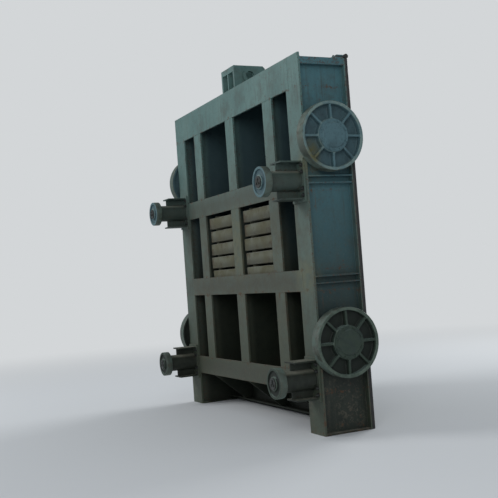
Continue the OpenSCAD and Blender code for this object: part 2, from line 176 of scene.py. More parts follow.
class Recipe:
    """A material under construction, with the few steps that every finish shares."""

    MIX_FACTOR, MIX_A, MIX_B, MIX_RESULT = 0, 6, 7, 2

    def __init__(self, name: str) -> None:
        """Start an empty node material that reads Object coordinates.

        Args:
            name: the material's name.
        """
        self.material = bpy.data.materials.new(name)
        self.material.use_nodes = True
        self.tree = self.material.node_tree
        self.tree.nodes.clear()
        source = self.node("TexCoord")
        self.coords = source["Object"]
        self.axes = self.node("SeparateXYZ", {0: self.coords})
        self.slopes = self.node("SeparateXYZ", {0: source["Normal"]})

    def node(self, kind: str, inputs: dict | None = None, **settings: object) -> bpy.types.NodeOutputs:
        """Add a node to this material and give its outputs."""
        return add_node(self.tree, kind, inputs, **settings)

    def math(self, operation: str, *values: object) -> Socket:
        """Combine numbers or sockets with one arithmetic step."""
        return self.node("Math", dict(enumerate(values)), operation=operation)[0]

    def chain(self, operation: str, *values: object) -> object:
        """Combine numbers and sockets from left to right.

        Args:
            operation: the arithmetic step between each two.
            *values: the numbers and sockets, one at least.

        Returns:
            The combined value.
        """
        result, *others = values
        for value in others:
            result = self.math(operation, result, value)
        return result

    def product(self, *values: object) -> object:
        """Multiply numbers and sockets."""
        return self.chain("MULTIPLY", *values)

    def total(self, *values: object) -> object:
        """Add numbers and sockets."""
        return self.chain("ADD", *values)

    def highest(self, *values: object) -> object:
        """Take the largest of numbers and sockets."""
        return self.chain("MAXIMUM", *values)

    def noise(
        self, size_mm: float, detail: float = 4.0, stretch: tuple = (1.0, 1.0, 1.0), rough: float = 0.55
    ) -> Socket:
        """Make a noise whose features are about a real size.

        Args:
            size_mm: size of a feature in millimetres.
            detail: number of finer layers.
            stretch: how much longer a feature is along each axis.
            rough: strength of the finer layers.

        Returns:
            The noise value from 0 to 1.
        """
        scale = tuple(1.0 / s for s in stretch)
        mapped = self.node("Mapping", {"Vector": self.coords, "Scale": scale})[0]
        inputs = {"Vector": mapped, "Scale": 1.0 / (size_mm * MM), "Detail": detail, "Roughness": rough}
        return self.node("TexNoise", inputs)[0]

    def window(
        self, value: object, low: float, high: float, clear: float = 0.0, full: float = 1.0
    ) -> Socket:
        """Go smoothly from clear at low to full at high."""
        inputs = {"Value": value, "From Min": low, "From Max": high, "To Min": clear, "To Max": full}
        return self.node("MapRange", inputs, interpolation_type="SMOOTHSTEP")[0]

    def blend(self, factor: object, first: object, second: object) -> Socket:
        """Mix two colours.

        Args:
            factor: share of the second colour.
            first: hex colour or socket.
            second: hex colour or socket.

        Returns:
            The mixed colour.
        """
        one, two = (linear(c) if isinstance(c, str) else c for c in (first, second))
        inputs = {self.MIX_FACTOR: factor, self.MIX_A: one, self.MIX_B: two}
        return self.node("Mix", inputs, data_type="RGBA")[self.MIX_RESULT]

    def layers(self, colour: object, coats: list[tuple]) -> Socket:
        """Lay colours over each other.

        Args:
            colour: the lowest colour.
            coats: for each coat its colour, and the factors whose product is its strength.

        Returns:
            The colour that shows.
        """
        for over, *factors in coats:
            colour = self.blend(self.product(*factors), colour, over)
        return colour

    def away(self, axis: str) -> Socket:
        """Give the distance from the middle plane across an axis."""
        return self.math("ABSOLUTE", self.axes[axis])

    def facing_up(self) -> Socket:
        """Give 1 on faces that look upwards."""
        return self.window(self.slopes["Z"], 0.6, 0.9)

    def near(self, axis: str, places: Sequence[float], reach: float) -> Socket:
        """Find what lies near any of some places along an axis.

        Args:
            axis: X, Y or Z.
            places: the places along it.
            reach: distance at which nothing is left.

        Returns:
            1 at each place, falling to 0 at reach.
        """
        offsets = [self.math("SUBTRACT", self.axes[axis], place) for place in places]
        gaps = [self.math("ABSOLUTE", offset) for offset in offsets]
        return self.highest(*[self.window(gap, 0.0, reach, 1.0, 0.0) for gap in gaps])

    def spot(self, centre: tuple[float, float, float], radii: tuple[float, float, float]) -> Socket:
        """Find what lies in an ellipsoid.

        Args:
            centre: its middle.
            radii: its half lengths along X, Y and Z.

        Returns:
            1 round the middle, falling to 0 at the surface.
        """
        inputs = {
            "Vector": self.coords,
            "Location": tuple(-c / r for c, r in zip(centre, radii)),
            "Scale": tuple(1.0 / r for r in radii),
        }
        return self.window(self.length(self.node("Mapping", inputs)[0]), 0.25, 1.0, 1.0, 0.0)

    def length(self, vector: Socket) -> Socket:
        """Give a vector's length."""
        return self.node("VectorMath", {0: vector}, operation="LENGTH")["Value"]

    def finish(
        self,
        colour: object,
        roughness: object,
        metallic: object = 0.0,
        heights: list[tuple[object, float]] | None = None,
        ior: float | None = 1.45,
    ) -> Material:
        """Close the material with its shader.

        Args:
            colour: hex colour or socket.
            roughness: number or socket.
            metallic: number or socket.
            heights: bump layers, each a socket and its height in millimetres.
            ior: refractive index of the surface, or None for a metal.

        Returns:
            The finished material.
        """
        base = linear(colour) if isinstance(colour, str) else colour
        inputs = {"Base Color": base, "Roughness": roughness, "Metallic": metallic}
        if ior is not None:
            inputs["IOR"] = ior
        for height, depth_mm in heights or []:
            bump = {"Height": height, "Distance": depth_mm * MM, "Strength": 1.0}
            if "Normal" in inputs:
                bump["Normal"] = inputs["Normal"]
            inputs["Normal"] = self.node("Bump", bump)[0]
        self.node("OutputMaterial", {"Surface": self.node("BsdfPrincipled", inputs)[0]})
        return self.material


@dataclass(frozen=True)
class GateSizes:
    """Main places on the leaf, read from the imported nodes."""

    half_width: float
    height: float
    plate_top: float
    front: float
    skin: float
    back: float
    girders: tuple[float, float, float]
    top_edge: float
    bay: float
    flange_edge: float

    @classmethod
    def read(cls) -> "GateSizes":
        """Work the places out from the boxes of the nodes.

        Returns:
            The places.
        """
        skin_low, skin_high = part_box("skin_plate")
        beam_low, beam_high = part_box("top_beam")
        girder_low, girder_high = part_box("girder_upper")
        levels = []
        for name in ("girder_lower", "girder_middle", "girder_upper"):
            low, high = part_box(name)
            levels.append((low.z + high.z) / 2)
        side_low, side_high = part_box("diaphragm_right")
        return cls(
            half_width=skin_high.x,
            height=beam_high.z,
            plate_top=skin_high.z,
            front=girder_low.y,
            skin=skin_low.y,
            back=skin_high.y,
            girders=tuple(levels),
            top_edge=beam_low.z,
            bay=(side_low.x + side_high.x) / 2,
            flange_edge=girder_high.x,
        )

    @property
    def posts(self) -> tuple[float, float, float]:
        """Where the three diaphragms stand along X."""
        return (-self.bay, 0.0, self.bay)

    @property
    def flange_edges(self) -> list[float]:
        """Heights of the lower and upper edges of the girders' flanges."""
        return [level + edge for level in self.girders for edge in (-FLANGE_HALF, FLANGE_HALF)]


@dataclass(frozen=True)
class WeatheredPaint:
    """Grey-green alkyd paint, sprayed on blasted plate and left outdoors.

    It gives the eye a dull, chalky surface that is teal at the top and darker and browner lower
    down, as painted shade with some dust, with dirt that has run down from each ledge, rust at
    welds and edges, painted shade on the guide brackets, painted shade with some grime in the
    bays, and bluer, darker painted shade on the two ends behind the flanges.
    """

    sizes: GateSizes
    name: str = "weathered_alkyd_paint"
    paint: str = "#4c6c69"
    faded: str = "#5b7a76"
    # the next two colours paint shade, with some dust, lower down on the leaf
    dusty: str = "#4c4d3e"
    low: str = "#3d4536"
    # painted shade on the two ends behind the flanges, darker at the foot
    end: str = "#436d76"
    end_shade_low: str = "#18201a"
    ledge_dust: str = "#77766a"
    # painted shade with some grime in the bays, bluish above and green-black below
    bay_shade_upper: str = "#2c4147"
    bay_shade_lower: str = "#0e170c"
    # painted shade on the guide brackets
    bracket_shade: str = "#111710"
    rust: str = "#553f2e"
    olive: str = "#626650"
    weep: str = "#3c3d35"
    mud: str = "#625d4e"
    primer: str = "#4e3a30"
    flange: float = 20 * MM
    end_reach: float = 68 * MM

    def build(self) -> Material:
        """Make the material.

        Returns:
            The finished material.
        """
        r = Recipe(self.name)
        patch = r.noise(90, 5.0)
        mottle = r.noise(26, 6.0, rough=0.66)
        broad = r.noise(210, 6.0, rough=0.62)
        buckle = r.noise(650, 3.0)
        blooms, chips = self.blooms(r), self.chips(r)
        settled = r.product(r.facing_up(), r.window(patch, 0.3, 0.7, 0.35, 0.8))
        # painted shade with some grime inside the bays, darker in the lower ones
        shade_and_grime = r.blend(r.window(r.axes["Z"], 1.3, 2.4), self.bay_shade_lower, self.bay_shade_upper)
        colour = r.layers(
            self.coat(r, buckle, patch),
            [
                (self.weep, r.window(broad, 0.48, 0.70, 0.0, 0.38)),
                (self.weep, r.window(mottle, 0.5, 0.75, 0.0, 0.45)),
                (self.ledge_dust, r.window(mottle, 0.28, 0.45, 0.12, 0.0)),
                (self.weep, self.runs(r), 0.55),
                (self.rust, blooms, 0.75),
                (self.rust, self.rust_runs(r), 0.5),
                (self.primer, chips, 0.8),
                (self.olive, self.stains(r), r.window(patch, 0.36, 0.62, 0.15, 0.8)),
                (self.mud, self.splashes(r, broad), 0.4),
                (self.rust, self.scorched(r), r.window(patch, 0.4, 0.68, 0.04, 0.6)),
                # painted shade on the guide brackets
                (self.bracket_shade, self.painted_bracket_shade(r), r.window(patch, 0.2, 0.7, 1.0, 0.75)),
                (self.ledge_dust, settled),
                # painted shade with some grime in the bays
                (shade_and_grime, self.bay_shade_and_grime(r), r.window(patch, 0.2, 0.7, 0.96, 0.86)),
            ],
        )
        whole = r.math("SUBTRACT", 1.0, chips)
        return r.finish(
            colour,
            r.window(r.total(blooms, settled), 0.0, 1.2, 0.6, 0.88),
            heights=[(buckle, 4.0), (r.noise(7, 3.0), 0.35), (blooms, 0.5), (whole, 0.4)],
        )

    def coat(self, r: Recipe, buckle: Socket, patch: Socket) -> Socket:
        """Colour the paint by height, with painted shade and some dust lower down, and with bluer,
        darker painted shade on the two ends behind the flanges, darkest towards the bottom.

        Args:
            r: the material under construction.
            buckle: the widest noise.
            patch: the noise that breaks the layers up.

        Returns:
            The colour below all dirt and rust.
        """
        s = self.sizes
        x, y, z = r.away("X"), r.axes["Y"], r.axes["Z"]
        sprayed = r.blend(r.window(buckle, 0.35, 0.68), self.paint, self.faded)
        # painted shade: bluer and darker on the ends behind the flanges, darkest towards the bottom
        end = r.blend(r.window(z, 0.55, 2.85, 1.0, 0.0), self.end, self.end_shade_low)
        end_x, end_y = s.half_width - self.end_reach, s.front + self.flange
        on_shaded_end = r.product(
            r.window(x, end_x - 4 * MM, end_x + 4 * MM),
            r.window(y, end_y - 0.5 * MM, end_y + 0.5 * MM),
            r.window(y, s.skin - 1 * MM, s.skin + 1 * MM, 1.0, 0.0),
        )
        # painted shade with some dust: darker and browner lower down, darkest near the foot
        high, low = r.window(z, 1.8, 3.3, 0.95, 0.0), r.window(z, 0.35, 1.5, 0.9, 0.0)
        return r.layers(
            sprayed,
            [
                (self.dusty, high, r.window(patch, 0.2, 0.7, 0.7, 1.0), r.window(x, 1.25, 1.5, 1.0, 0.7)),
                (self.low, low, r.window(patch, 0.2, 0.7, 1.0, 0.75)),
                (self.weep, r.near("Z", s.girders, 0.16), r.window(x, 1.2, 1.5, 0.48, 0.2)),
                (end, on_shaded_end, r.window(patch, 0.2, 0.8, 0.97, 0.8)),
            ],
        )

    def runs(self, r: Recipe) -> Socket:
        """Find the dirt that rain has carried down below the ledges.

        Args:
            r: the material under construction.

        Returns:
            How much of it there is, from 0 to 1.
        """
        s = self.sizes
        ledges = [level + FLANGE_HALF for level in s.girders] + [s.height - 0.02]
        streak = r.noise(42, 4.0, (1.0, 1.0, 14.0))
        return r.product(r.window(streak, 0.50, 0.74), r.near("Z", [z - 0.28 for z in ledges], 0.42))

    def rust_runs(self, r: Recipe) -> Socket:
        """Find the few thin rust runs below seams, brackets and channels.

        Args:
            r: the material under construction.

        Returns:
            How much of them there is, from 0 to 1.
        """
        s = self.sizes
        below = [level - 0.2 for level in s.girders] + [s.top_edge - 0.1]
        streak = r.noise(34, 2.0, (1.0, 1.0, 22.0))
        return r.product(r.window(streak, 0.66, 0.76), r.near("Z", below, 0.3))

    def blooms(self, r: Recipe) -> Socket:
        """Find the rust that has come through, mostly at seams and edges.

        Args:
            r: the material under construction.

        Returns:
            How much of it there is, from 0 to 1.
        """
        s = self.sizes
        edge = s.half_width - 0.015
        seams = r.near("Z", [*s.flange_edges, s.top_edge], 0.05)
        posts = r.near("X", [*s.posts, edge, -edge], 0.06)
        foot = r.window(r.axes["Z"], 0.0, 0.22, 1.0, 0.0)
        worn = r.total(r.product(seams, 0.09), r.product(posts, 0.04), r.product(foot, 0.08))
        return r.window(r.total(r.noise(48, 7.0, rough=0.68), worn), 0.62, 0.74)

    def chips(self, r: Recipe) -> Socket:
        """Find the paint knocked off along the flanges' outer edges.

        Args:
            r: the material under construction.

        Returns:
            1 where it is off.
        """
        s = self.sizes
        columns = [x + edge for x in s.posts for edge in (-FLANGE_HALF, FLANGE_HALF)]
        columns += [-s.half_width, s.half_width, -s.flange_edge, s.flange_edge]
        along = r.near("Z", [*s.flange_edges, s.top_edge, s.height], 0.012)
        edge = r.product(r.highest(along, r.near("X", columns, 0.012)), 0.15)
        return r.window(r.total(r.noise(15, 4.0, rough=0.62), edge), 0.70, 0.73)

    def stains(self, r: Recipe) -> Socket:
        """Find the three olive stains on the open side and the right-hand end.

        Args:
            r: the material under construction.

        Returns:
            How strong they are, from 0 to 1.
        """
        s = self.sizes
        wheel_side = r.spot((s.half_width - 0.04, s.front + 0.06, 2.48), (0.12, 0.2, 0.26))
        between_stacks = r.spot((0.0, s.front, 1.86), (0.36, 0.2, 0.5))
        girder_end = r.spot((s.half_width - 0.16, s.front, 1.45), (0.26, 0.20, 0.24))
        return r.highest(wheel_side, r.product(r.highest(between_stacks, girder_end), 0.75))

    def splashes(self, r: Recipe, broad: Socket) -> Socket:
        """Find the mud that has splashed up from the ground and dried.

        Args:
            r: the material under construction.
            broad: the noise that leaves some places clean.

        Returns:
            How much of it there is, from 0 to 1.
        """
        height = r.window(r.axes["Z"], 0.1, 1.0, 0.16, 0.0)
        drops = r.window(r.total(r.noise(32, 5.0, rough=0.7), height), 0.66, 0.74)
        return r.product(drops, r.window(broad, 0.35, 0.6))

    def scorched(self, r: Recipe) -> Socket:
        """Find the lines where the girders' welds have scorched the paint on the skin's back.

        Args:
            r: the material under construction.

        Returns:
            1 along the lines, falling to 0 beside them.
        """
        s = self.sizes
        behind = r.window(r.axes["Y"], s.back - 2 * MM, s.back - 1 * MM)
        return r.product(behind, r.highest(r.near("Z", s.girders, 0.03), r.near("X", s.posts, 0.024)))

    def painted_bracket_shade(self, r: Recipe) -> Socket:
        """Find the guide brackets, darkened by painted shade, most of all the lower ones, less on their
        tops.

        Args:
            r: the material under construction.

        Returns:
            How dark they are, from 0 to 1.
        """
        # painted shade on the brackets ahead of the flange, less on their upward faces
        ahead = r.window(r.axes["Y"], self.sizes.front - 0.024, self.sizes.front - 0.021, 1.0, 0.0)
        tops_spared = r.math("SUBTRACT", 1.0, r.product(r.facing_up(), 0.8))
        return r.product(ahead, r.window(r.axes["Z"], 1.2, 2.0, 0.95, 0.62), tops_spared)

    def bay_shade_and_grime(self, r: Recipe) -> Socket:
        """Find the insides of the bays, behind the flanges and in front of the skin's back, which get
        painted shade with some grime.

        Args:
            r: the material under construction.

        Returns:
            1 inside, falling to 0 at the bays' edges.
        """
        s = self.sizes
        return r.product(
            r.window(r.axes["Y"], s.front + 0.025, s.front + 0.16),
            r.window(r.axes["Y"], s.back - 0.012, s.back - 0.004, 1.0, 0.0),
            r.window(r.away("X"), s.flange_edge + 0.05, s.flange_edge + 0.07, 1.0, 0.0),
            r.window(r.axes["Z"], s.plate_top - 0.02, s.plate_top - 0.012, 1.0, 0.0),
        )


@dataclass(frozen=True)
class PaintedCasting:
    """Cast steel with a thin blue-grey paint, as it came from the sand mould.

    It gives the eye a coarser skin than rolled plate, painted shade with some dirt in the
    pockets and a painted highlight on the rim. The lower wheels are painted greener and darker
    as shade.
    """

    name: str
    axis: str
    face: float
    pocket: float
    stain: tuple[float, float, float] | None = None
    stain_reach: tuple[float, float, float] = (0.3, 0.12, 0.2)
    paint: str = "#4e6c73"
    # the lower wheels' colours are painted shade; the pale rim colours are a painted highlight; the dark
    # colours are dirt and, in the pockets, painted shade
    lower: str = "#313f35"
    rim_highlight: str = "#7b8e87"
    rim_highlight_low: str = "#5d6b60"
    dirt: str = "#1f2b30"
    dirt_and_shade_low: str = "#080d09"
    rust: str = "#4e3c2e"
    olive: str = "#57573a"

    def build(self) -> Material:
        """Make the material.

        Returns:
            The finished material.
        """
        r = Recipe(self.name)
        patch = r.noise(55, 5.0)
        mottle = r.noise(20, 5.0, rough=0.64)
        # paler higher up: the lower wheels get painted shade
        up, out = r.window(r.axes["Z"], 1.2, 2.2), r.away(self.axis)
        # painted highlight on the rim
        rim = r.product(
            r.window(out, self.face - 9 * MM, self.face - 5 * MM),
            r.window(out, self.face + 1 * MM, self.face + 2 * MM, 1.0, 0.0),
        )
        # painted shade with some dirt in the pockets, stronger on the lower wheels
        pocket_shade_and_dirt = r.product(
            r.window(out, self.face - self.pocket, self.face - self.pocket * 0.3, 0.9, 0.0),
            r.window(r.axes["Z"], 1.2, 2.2, 1.0, 0.5),
        )
        # the rim's painted highlight and the pockets' painted shade, both darker on the lower wheels
        rim_highlight, dirt = r.blend(up, self.rim_highlight_low, self.rim_highlight), r.blend(up, self.dirt_and_shade_low, self.dirt)
        coats = [
            (self.dirt, r.window(mottle, 0.52, 0.74, 0.0, 0.5)),
            (self.dirt, r.window(r.noise(130, 5.0), 0.48, 0.7, 0.0, 0.35)),
            (rim_highlight, rim, r.window(patch, 0.35, 0.65, 0.25, 0.8)),
            # painted shade with some dirt in the pockets
            (dirt, pocket_shade_and_dirt, r.window(patch, 0.2, 0.7, 1.0, 0.75)),
            (self.rust, r.window(r.noise(24, 6.0, rough=0.7), 0.64, 0.73), 0.7),
        ]
        if self.stain:
            stained = r.spot(self.stain, self.stain_reach)
            coats.append((self.olive, stained, r.window(patch, 0.3, 0.6, 0.4, 1.0)))
        # dust on upward faces, in the pale colour of the rim's painted highlight
        coats.append((self.rim_highlight, r.facing_up(), 0.5))
        colour = r.layers(r.blend(up, self.lower, self.paint), coats)
        heights = [(r.noise(6, 3.0), 0.8), (patch, 1.0)]
        return r.finish(colour, r.window(patch, 0.3, 0.7, 0.55, 0.8), heights=heights)


@dataclass(frozen=True)
class WornTread:
    """Machined steel on a wheel's tread, with the remains of its paint.

    It gives the eye a dull grey-green band with fine turning marks and a little shine.
    """

    name: str = "worn_machined_tread"
    steel: str = "#545d55"
    paint: str = "#52625a"
    rust: str = "#454034"

    def build(self) -> Material:
        """Make the material.

        Returns:
            The finished material.
        """
        r = Recipe(self.name)
        painted = r.window(r.noise(120, 4.0), 0.42, 0.6)
        rusty = r.window(r.noise(40, 5.0), 0.5, 0.7)
        colour = r.layers(self.steel, [(self.paint, painted), (self.rust, rusty, 0.6)])
        covered = r.highest(rusty, painted)
        rough, metallic = r.window(covered, 0.0, 1.0, 0.46, 0.82), r.window(covered, 0.0, 1.0, 0.5, 0.03)
        return r.finish(colour, rough, metallic, [(r.noise(2.5, 2.0), 0.25)], ior=None)


@dataclass(frozen=True)
class TurnedSteel:
    """Turned steel of the axles, pins and bolts, dulled by oil and flash rust."""

    name: str = "oiled_turned_steel"
    steel: str = "#454948"
    rust: str = "#312f29"

    def build(self) -> Material:
        """Make the material.

        Returns:
            The finished material.
        """
        r = Recipe(self.name)
        rusty = r.window(r.noise(16, 5.0), 0.44, 0.64)
        colour = r.layers(self.steel, [(self.rust, rusty, 0.7)])
        rough, metallic = r.window(rusty, 0.0, 1.0, 0.42, 0.78), r.window(rusty, 0.0, 1.0, 0.8, 0.15)
        return r.finish(colour, rough, metallic, [(r.noise(3, 2.0), 0.2)], ior=None)


@dataclass(frozen=True)
class RustyIron:
    """Grey iron ballast, cast in open sand and left bare.

    It gives the eye a powdery grey-brown face with paler dusty tops that also stand as a painted
    highlight, painted shade with some grime on each block's lower part and rust at the blocks' ends.
    """

    base: float
    pitch: float
    name: str = "rusty_cast_iron"
    ends: tuple[float, ...] = (-0.82, -0.12, 0.12, 0.82)
    scale: str = "#65685b"
    powder: str = "#54533f"
    rust: str = "#48392b"
    # dust on the tops, which also paints their highlight; painted shade with some grime low on each block
    dust: str = "#83847a"
    shade_and_grime: str = "#2b2a23"

    def build(self) -> Material:
        """Make the material.

        Returns:
            The finished material.
        """
        r = Recipe(self.name)
        broad = r.noise(220, 4.0)
        patch = r.noise(60, 6.0, rough=0.62)
        rusty = r.total(patch, r.product(r.near("X", self.ends, 0.16), 0.14))
        height = r.math("WRAP", r.math("SUBTRACT", r.axes["Z"], self.base), self.pitch, 0.0)
        # painted shade with some grime on the lower part of each block, repeated at the stack's pitch
        low = r.window(height, 0.1 * self.pitch, 0.6 * self.pitch, 0.6, 0.0)
        colour = r.layers(
            self.scale,
            [
                (self.powder, r.window(broad, 0.32, 0.66)),
                (self.rust, r.window(rusty, 0.54, 0.72), 0.6),
                (self.shade_and_grime, low, r.window(broad, 0.3, 0.7, 1.0, 0.5)),
                # dust on upward faces, which also paints the highlight on the blocks' tops
                (self.dust, r.window(r.slopes["Z"], 0.3, 0.8), 0.8),
            ],
        )
        return r.finish(colour, 0.88, heights=[(patch, 2.0), (r.noise(9, 4.0), 1.0)])


@dataclass(frozen=True)
class SealRubber:
    """Moulded black rubber of the bulb seals, greyed by dust."""

    name: str = "dusty_moulded_rubber"
    rubber: str = "#1c1d1e"
    dust: str = "#4a4843"
    ior: float = 1.52

    def build(self) -> Material:
        """Make the material.

        Returns:
            The finished material.
        """
        r = Recipe(self.name)
        dusty = r.window(r.noise(70, 5.0), 0.42, 0.75, 0.05, 0.6)
        colour = r.layers(self.rubber, [(self.dust, dusty)])
        rough = r.window(dusty, 0.0, 0.6, 0.5, 0.8)
        return r.finish(colour, rough, heights=[(r.noise(4, 2.0), 0.15)], ior=self.ior)


class Workbench:
    """Shared steps of modelling with operators."""

    def clear(self) -> None:
        """Leave edit mode and deselect everything."""
        if bpy.context.mode != "OBJECT":
            bpy.ops.object.mode_set(mode="OBJECT")
        bpy.ops.object.select_all(action="DESELECT")

    def take(self, name: str) -> Object:
        """Name the active piece, such as a primitive that was just added.

        Args:
            name: the name for the object and its mesh.

        Returns:
            The piece.
        """
        piece = bpy.context.object
        piece.name = name
        piece.data.name = name
        return piece

    def activate(self, piece: Object) -> None:
        """Select one piece alone and make it the active one.

        Args:
            piece: the piece.
        """
        self.clear()
        piece.select_set(True)
        bpy.context.view_layer.objects.active = piece

    def edit(self, piece: Object, kind: str = "FACE") -> None:
        """Enter edit mode on one piece with nothing selected.

        Args:
            piece: the piece.
            kind: what is selected next, VERT, EDGE or FACE.
        """
        self.activate(piece)
        bpy.ops.object.mode_set(mode="EDIT")
        bpy.ops.mesh.select_mode(type=kind)
        bpy.ops.mesh.select_all(action="DESELECT")

    def pick_end(self, piece: Object, sign: int) -> None:
        """Select the faces that look up or down, and stay in edit mode.

        Args:
            piece: the piece in edit mode.
            sign: 1 for up and -1 for down.
        """
        bpy.ops.object.mode_set(mode="OBJECT")
        for element in [*piece.data.edges, *piece.data.vertices]:
            element.select = False
        for face in piece.data.polygons:
            face.select = face.normal.z * sign > 0.9
        bpy.ops.object.mode_set(mode="EDIT")

    def settle(self, piece: Object) -> Object:
        """Put a piece's place into its mesh and leave its object at the origin.

        Args:
            piece: the piece.

        Returns:
            The same piece.
        """
        self.activate(piece)
        bpy.ops.object.transform_apply(location=True, rotation=True, scale=True)
        return piece

    def box(self, name: str, place: Vector, size: Vector) -> Object:
        """Model a box.

        Args:
            name: the piece's name.
            place: its middle.
            size: its lengths along X, Y and Z.

        Returns:
            The box.
        """
        self.clear()
        bpy.ops.mesh.primitive_cube_add(size=1.0, location=place)
        piece = self.take(name)
        piece.scale = size
        return self.settle(piece)

    def cylinder(self, name: str, sides: int, radius: float, depth: float, place: tuple) -> Object:
        """Model an upright cylinder or prism.

        Args:
            name: the piece's name.
            sides: number of sides.
            radius: radius to the corners.
            depth: length along Z.
            place: its middle.

        Returns:
            The cylinder.
        """
        self.clear()
        bpy.ops.mesh.primitive_cylinder_add(vertices=sides, radius=radius, depth=depth, location=place)
        return self.settle(self.take(name))

    def apply(self, piece: Object, kind: str, **settings: object) -> None:
        """Add one modifier and apply it.

        Args:
            piece: the piece to change.
            kind: the modifier's type.
            **settings: the modifier's properties.
        """
        self.activate(piece)
        modifier = piece.modifiers.new(kind.title(), kind)
        for name, value in settings.items():
            setattr(modifier, name, value)
        bpy.ops.object.modifier_apply(modifier=modifier.name)

    def round_off(self, piece: Object, width: float, segments: int = 1) -> Object:
        """Break a piece's sharp edges."""
        self.apply(piece, "BEVEL", width=width, segments=segments, limit_method="ANGLE")
        return piece

    def sink_ends(self, piece: Object, steps: dict[int, list[tuple[float, float]]]) -> None:
        """Step the two ends of a disc in or out.

        Args:
            piece: a disc on Z.
            steps: for the upper end 1 and the lower end -1, pairs of an inset and the movement
                along Z that follows it.
        """
        for sign, moves in steps.items():
            self.edit(piece)
            self.pick_end(piece, sign)
            for inset, move in moves:
                bpy.ops.mesh.inset(thickness=inset)
                if move:
                    bpy.ops.mesh.extrude_region_move(TRANSFORM_OT_translate={"value": (0, 0, move)})
        self.clear()

    def drill(self, piece: Object, bore: float, sides: int, length: float) -> None:
        """Cut a bore along Z through a hub that starts at zero.

        Args:
            piece: the wheel.
            bore: diameter of the bore.
            sides: number of sides of the bore.
            length: length of the hub.
        """
        tool = self.cylinder("drill", sides, bore / 2, length * 2, (0, 0, length / 2))
        self.apply(piece, "BOOLEAN", object=tool, operation="DIFFERENCE", solver="EXACT")
        self.drop(tool)

    def smooth(self, piece: Object, degrees: float) -> None:
        """Shade smooth below an angle."""
        self.activate(piece)
        bpy.ops.object.shade_smooth_by_angle(angle=math.radians(degrees))

    def join(self, pieces: list[Object], name: str) -> Object:
        """Join several pieces into one.

        Args:
            pieces: the pieces, one at least.
            name: the joined piece's name.

        Returns:
            The joined piece.
        """
        self.clear()
        for piece in pieces:
            piece.select_set(True)
        bpy.context.view_layer.objects.active = pieces[0]
        if len(pieces) > 1:
            bpy.ops.object.join()
        return self.take(name)

    def copy(self, piece: Object, name: str, matrix: Matrix) -> Object:
        """Copy a piece with its own mesh, moved by a matrix in its mesh.

        Args:
            piece: the piece to copy.
            name: the new piece's name.
            matrix: where the copy goes.

        Returns:
            The copy, with its object at the origin.
        """
        twin = bpy.data.objects.new(name, piece.data.copy())
        twin.data.name = name
        twin.data.transform(matrix)
        bpy.context.scene.collection.objects.link(twin)
        return twin

    def drop(self, piece: Object) -> None:
        """Delete a pattern piece that has been copied."""
        bpy.data.objects.remove(piece)


@dataclass(frozen=True)
class WheelFinish:
    """The two finishes of a wheel."""

    casting: Material
    tread: Material

    def put_on(self, piece: Object, edge: float) -> None:
        """Give the tread and the rest of a wheel their own finishes.

        Args:
            piece: a wheel on Z.
            edge: distance from Z beyond which a face belongs to the tread.
        """
        for finish in (self.casting, self.tread):
            piece.data.materials.append(finish)
        for face in piece.data.polygons:
            on_tread = math.hypot(face.center.x, face.center.y) > edge
            face.material_index = (Part.TREAD if on_tread else Part.CASTING).value


@dataclass(frozen=True)
class Bolt:
    """A hexagon bolt: its width across the flats, and whether a stud stands out of its nut."""

    across: float
    stud: bool = False


@dataclass
class Fasteners:
    """Hexagon bolts with washers, made once for each kind and copied to their places."""

    bench: Workbench
    patterns: dict[Bolt, Object] = field(default_factory=dict)

    def pattern(self, bolt: Bolt) -> Object:
        """Make or find the shape of one kind of bolt.

        Args:
            bolt: the kind of bolt.

        Returns:
            The bolt, with its washer's underside at the origin and its head along +Z.
        """
        if bolt not in self.patterns:
            washer_t = bolt.across * 0.12
            head_h = bolt.across * (0.62 if bolt.stud else 0.42)
            parts = [
                self.prism("washer", 20, bolt.across * 0.86, 0.0, washer_t),
                self.prism("head", 6, bolt.across / math.sqrt(3), washer_t, head_h),
            ]
            if bolt.stud:
                parts.append(self.prism("stud", 12, bolt.across * 0.32, washer_t + head_h, head_h * 0.5))
            self.patterns[bolt] = self.bench.join(parts, "bolt_pattern_piece")
            self.bench.smooth(self.patterns[bolt], 30)
        return self.patterns[bolt]

    def prism(self, name: str, sides: int, radius: float, base: float, height: float) -> Object:
        """Model one upright prism that stands at a height, with its edges broken."""
        piece = self.bench.cylinder(name, sides, radius, height, (0, 0, base + height / 2))
        return self.bench.round_off(piece, height * 0.12)

    def place(
        self, name: str, bolt: Bolt, spots: list[Vector], outward: Vector, body: str, finish: Material
    ) -> None:
        """Copy bolts to their places and join them.

        Args:
            name: name of the joined piece.
            bolt: the kind of bolt.
            spots: where the washers lie.
            outward: where the heads point.
            body: the body that the bolts ride on.
            finish: the bolts' material.
        """
        shape = self.pattern(bolt)
        copies = []
        for i, spot in enumerate(spots):
            spin = Matrix.Rotation(math.radians((i * 47) % 60), 4, "Z")
            copies.append(self.bench.copy(shape, f"{name}_{i}", facing(outward, spot) @ spin))
        piece = self.bench.join(copies, name)
        piece.data.materials.append(finish)
        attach(piece, body)
        LOG.info("bolts %s: %d", name, len(spots))

    def clear_patterns(self) -> None:
        """Delete the bolts that were only copied from."""
        for shape in self.patterns.values():
            self.bench.drop(shape)
        self.patterns.clear()


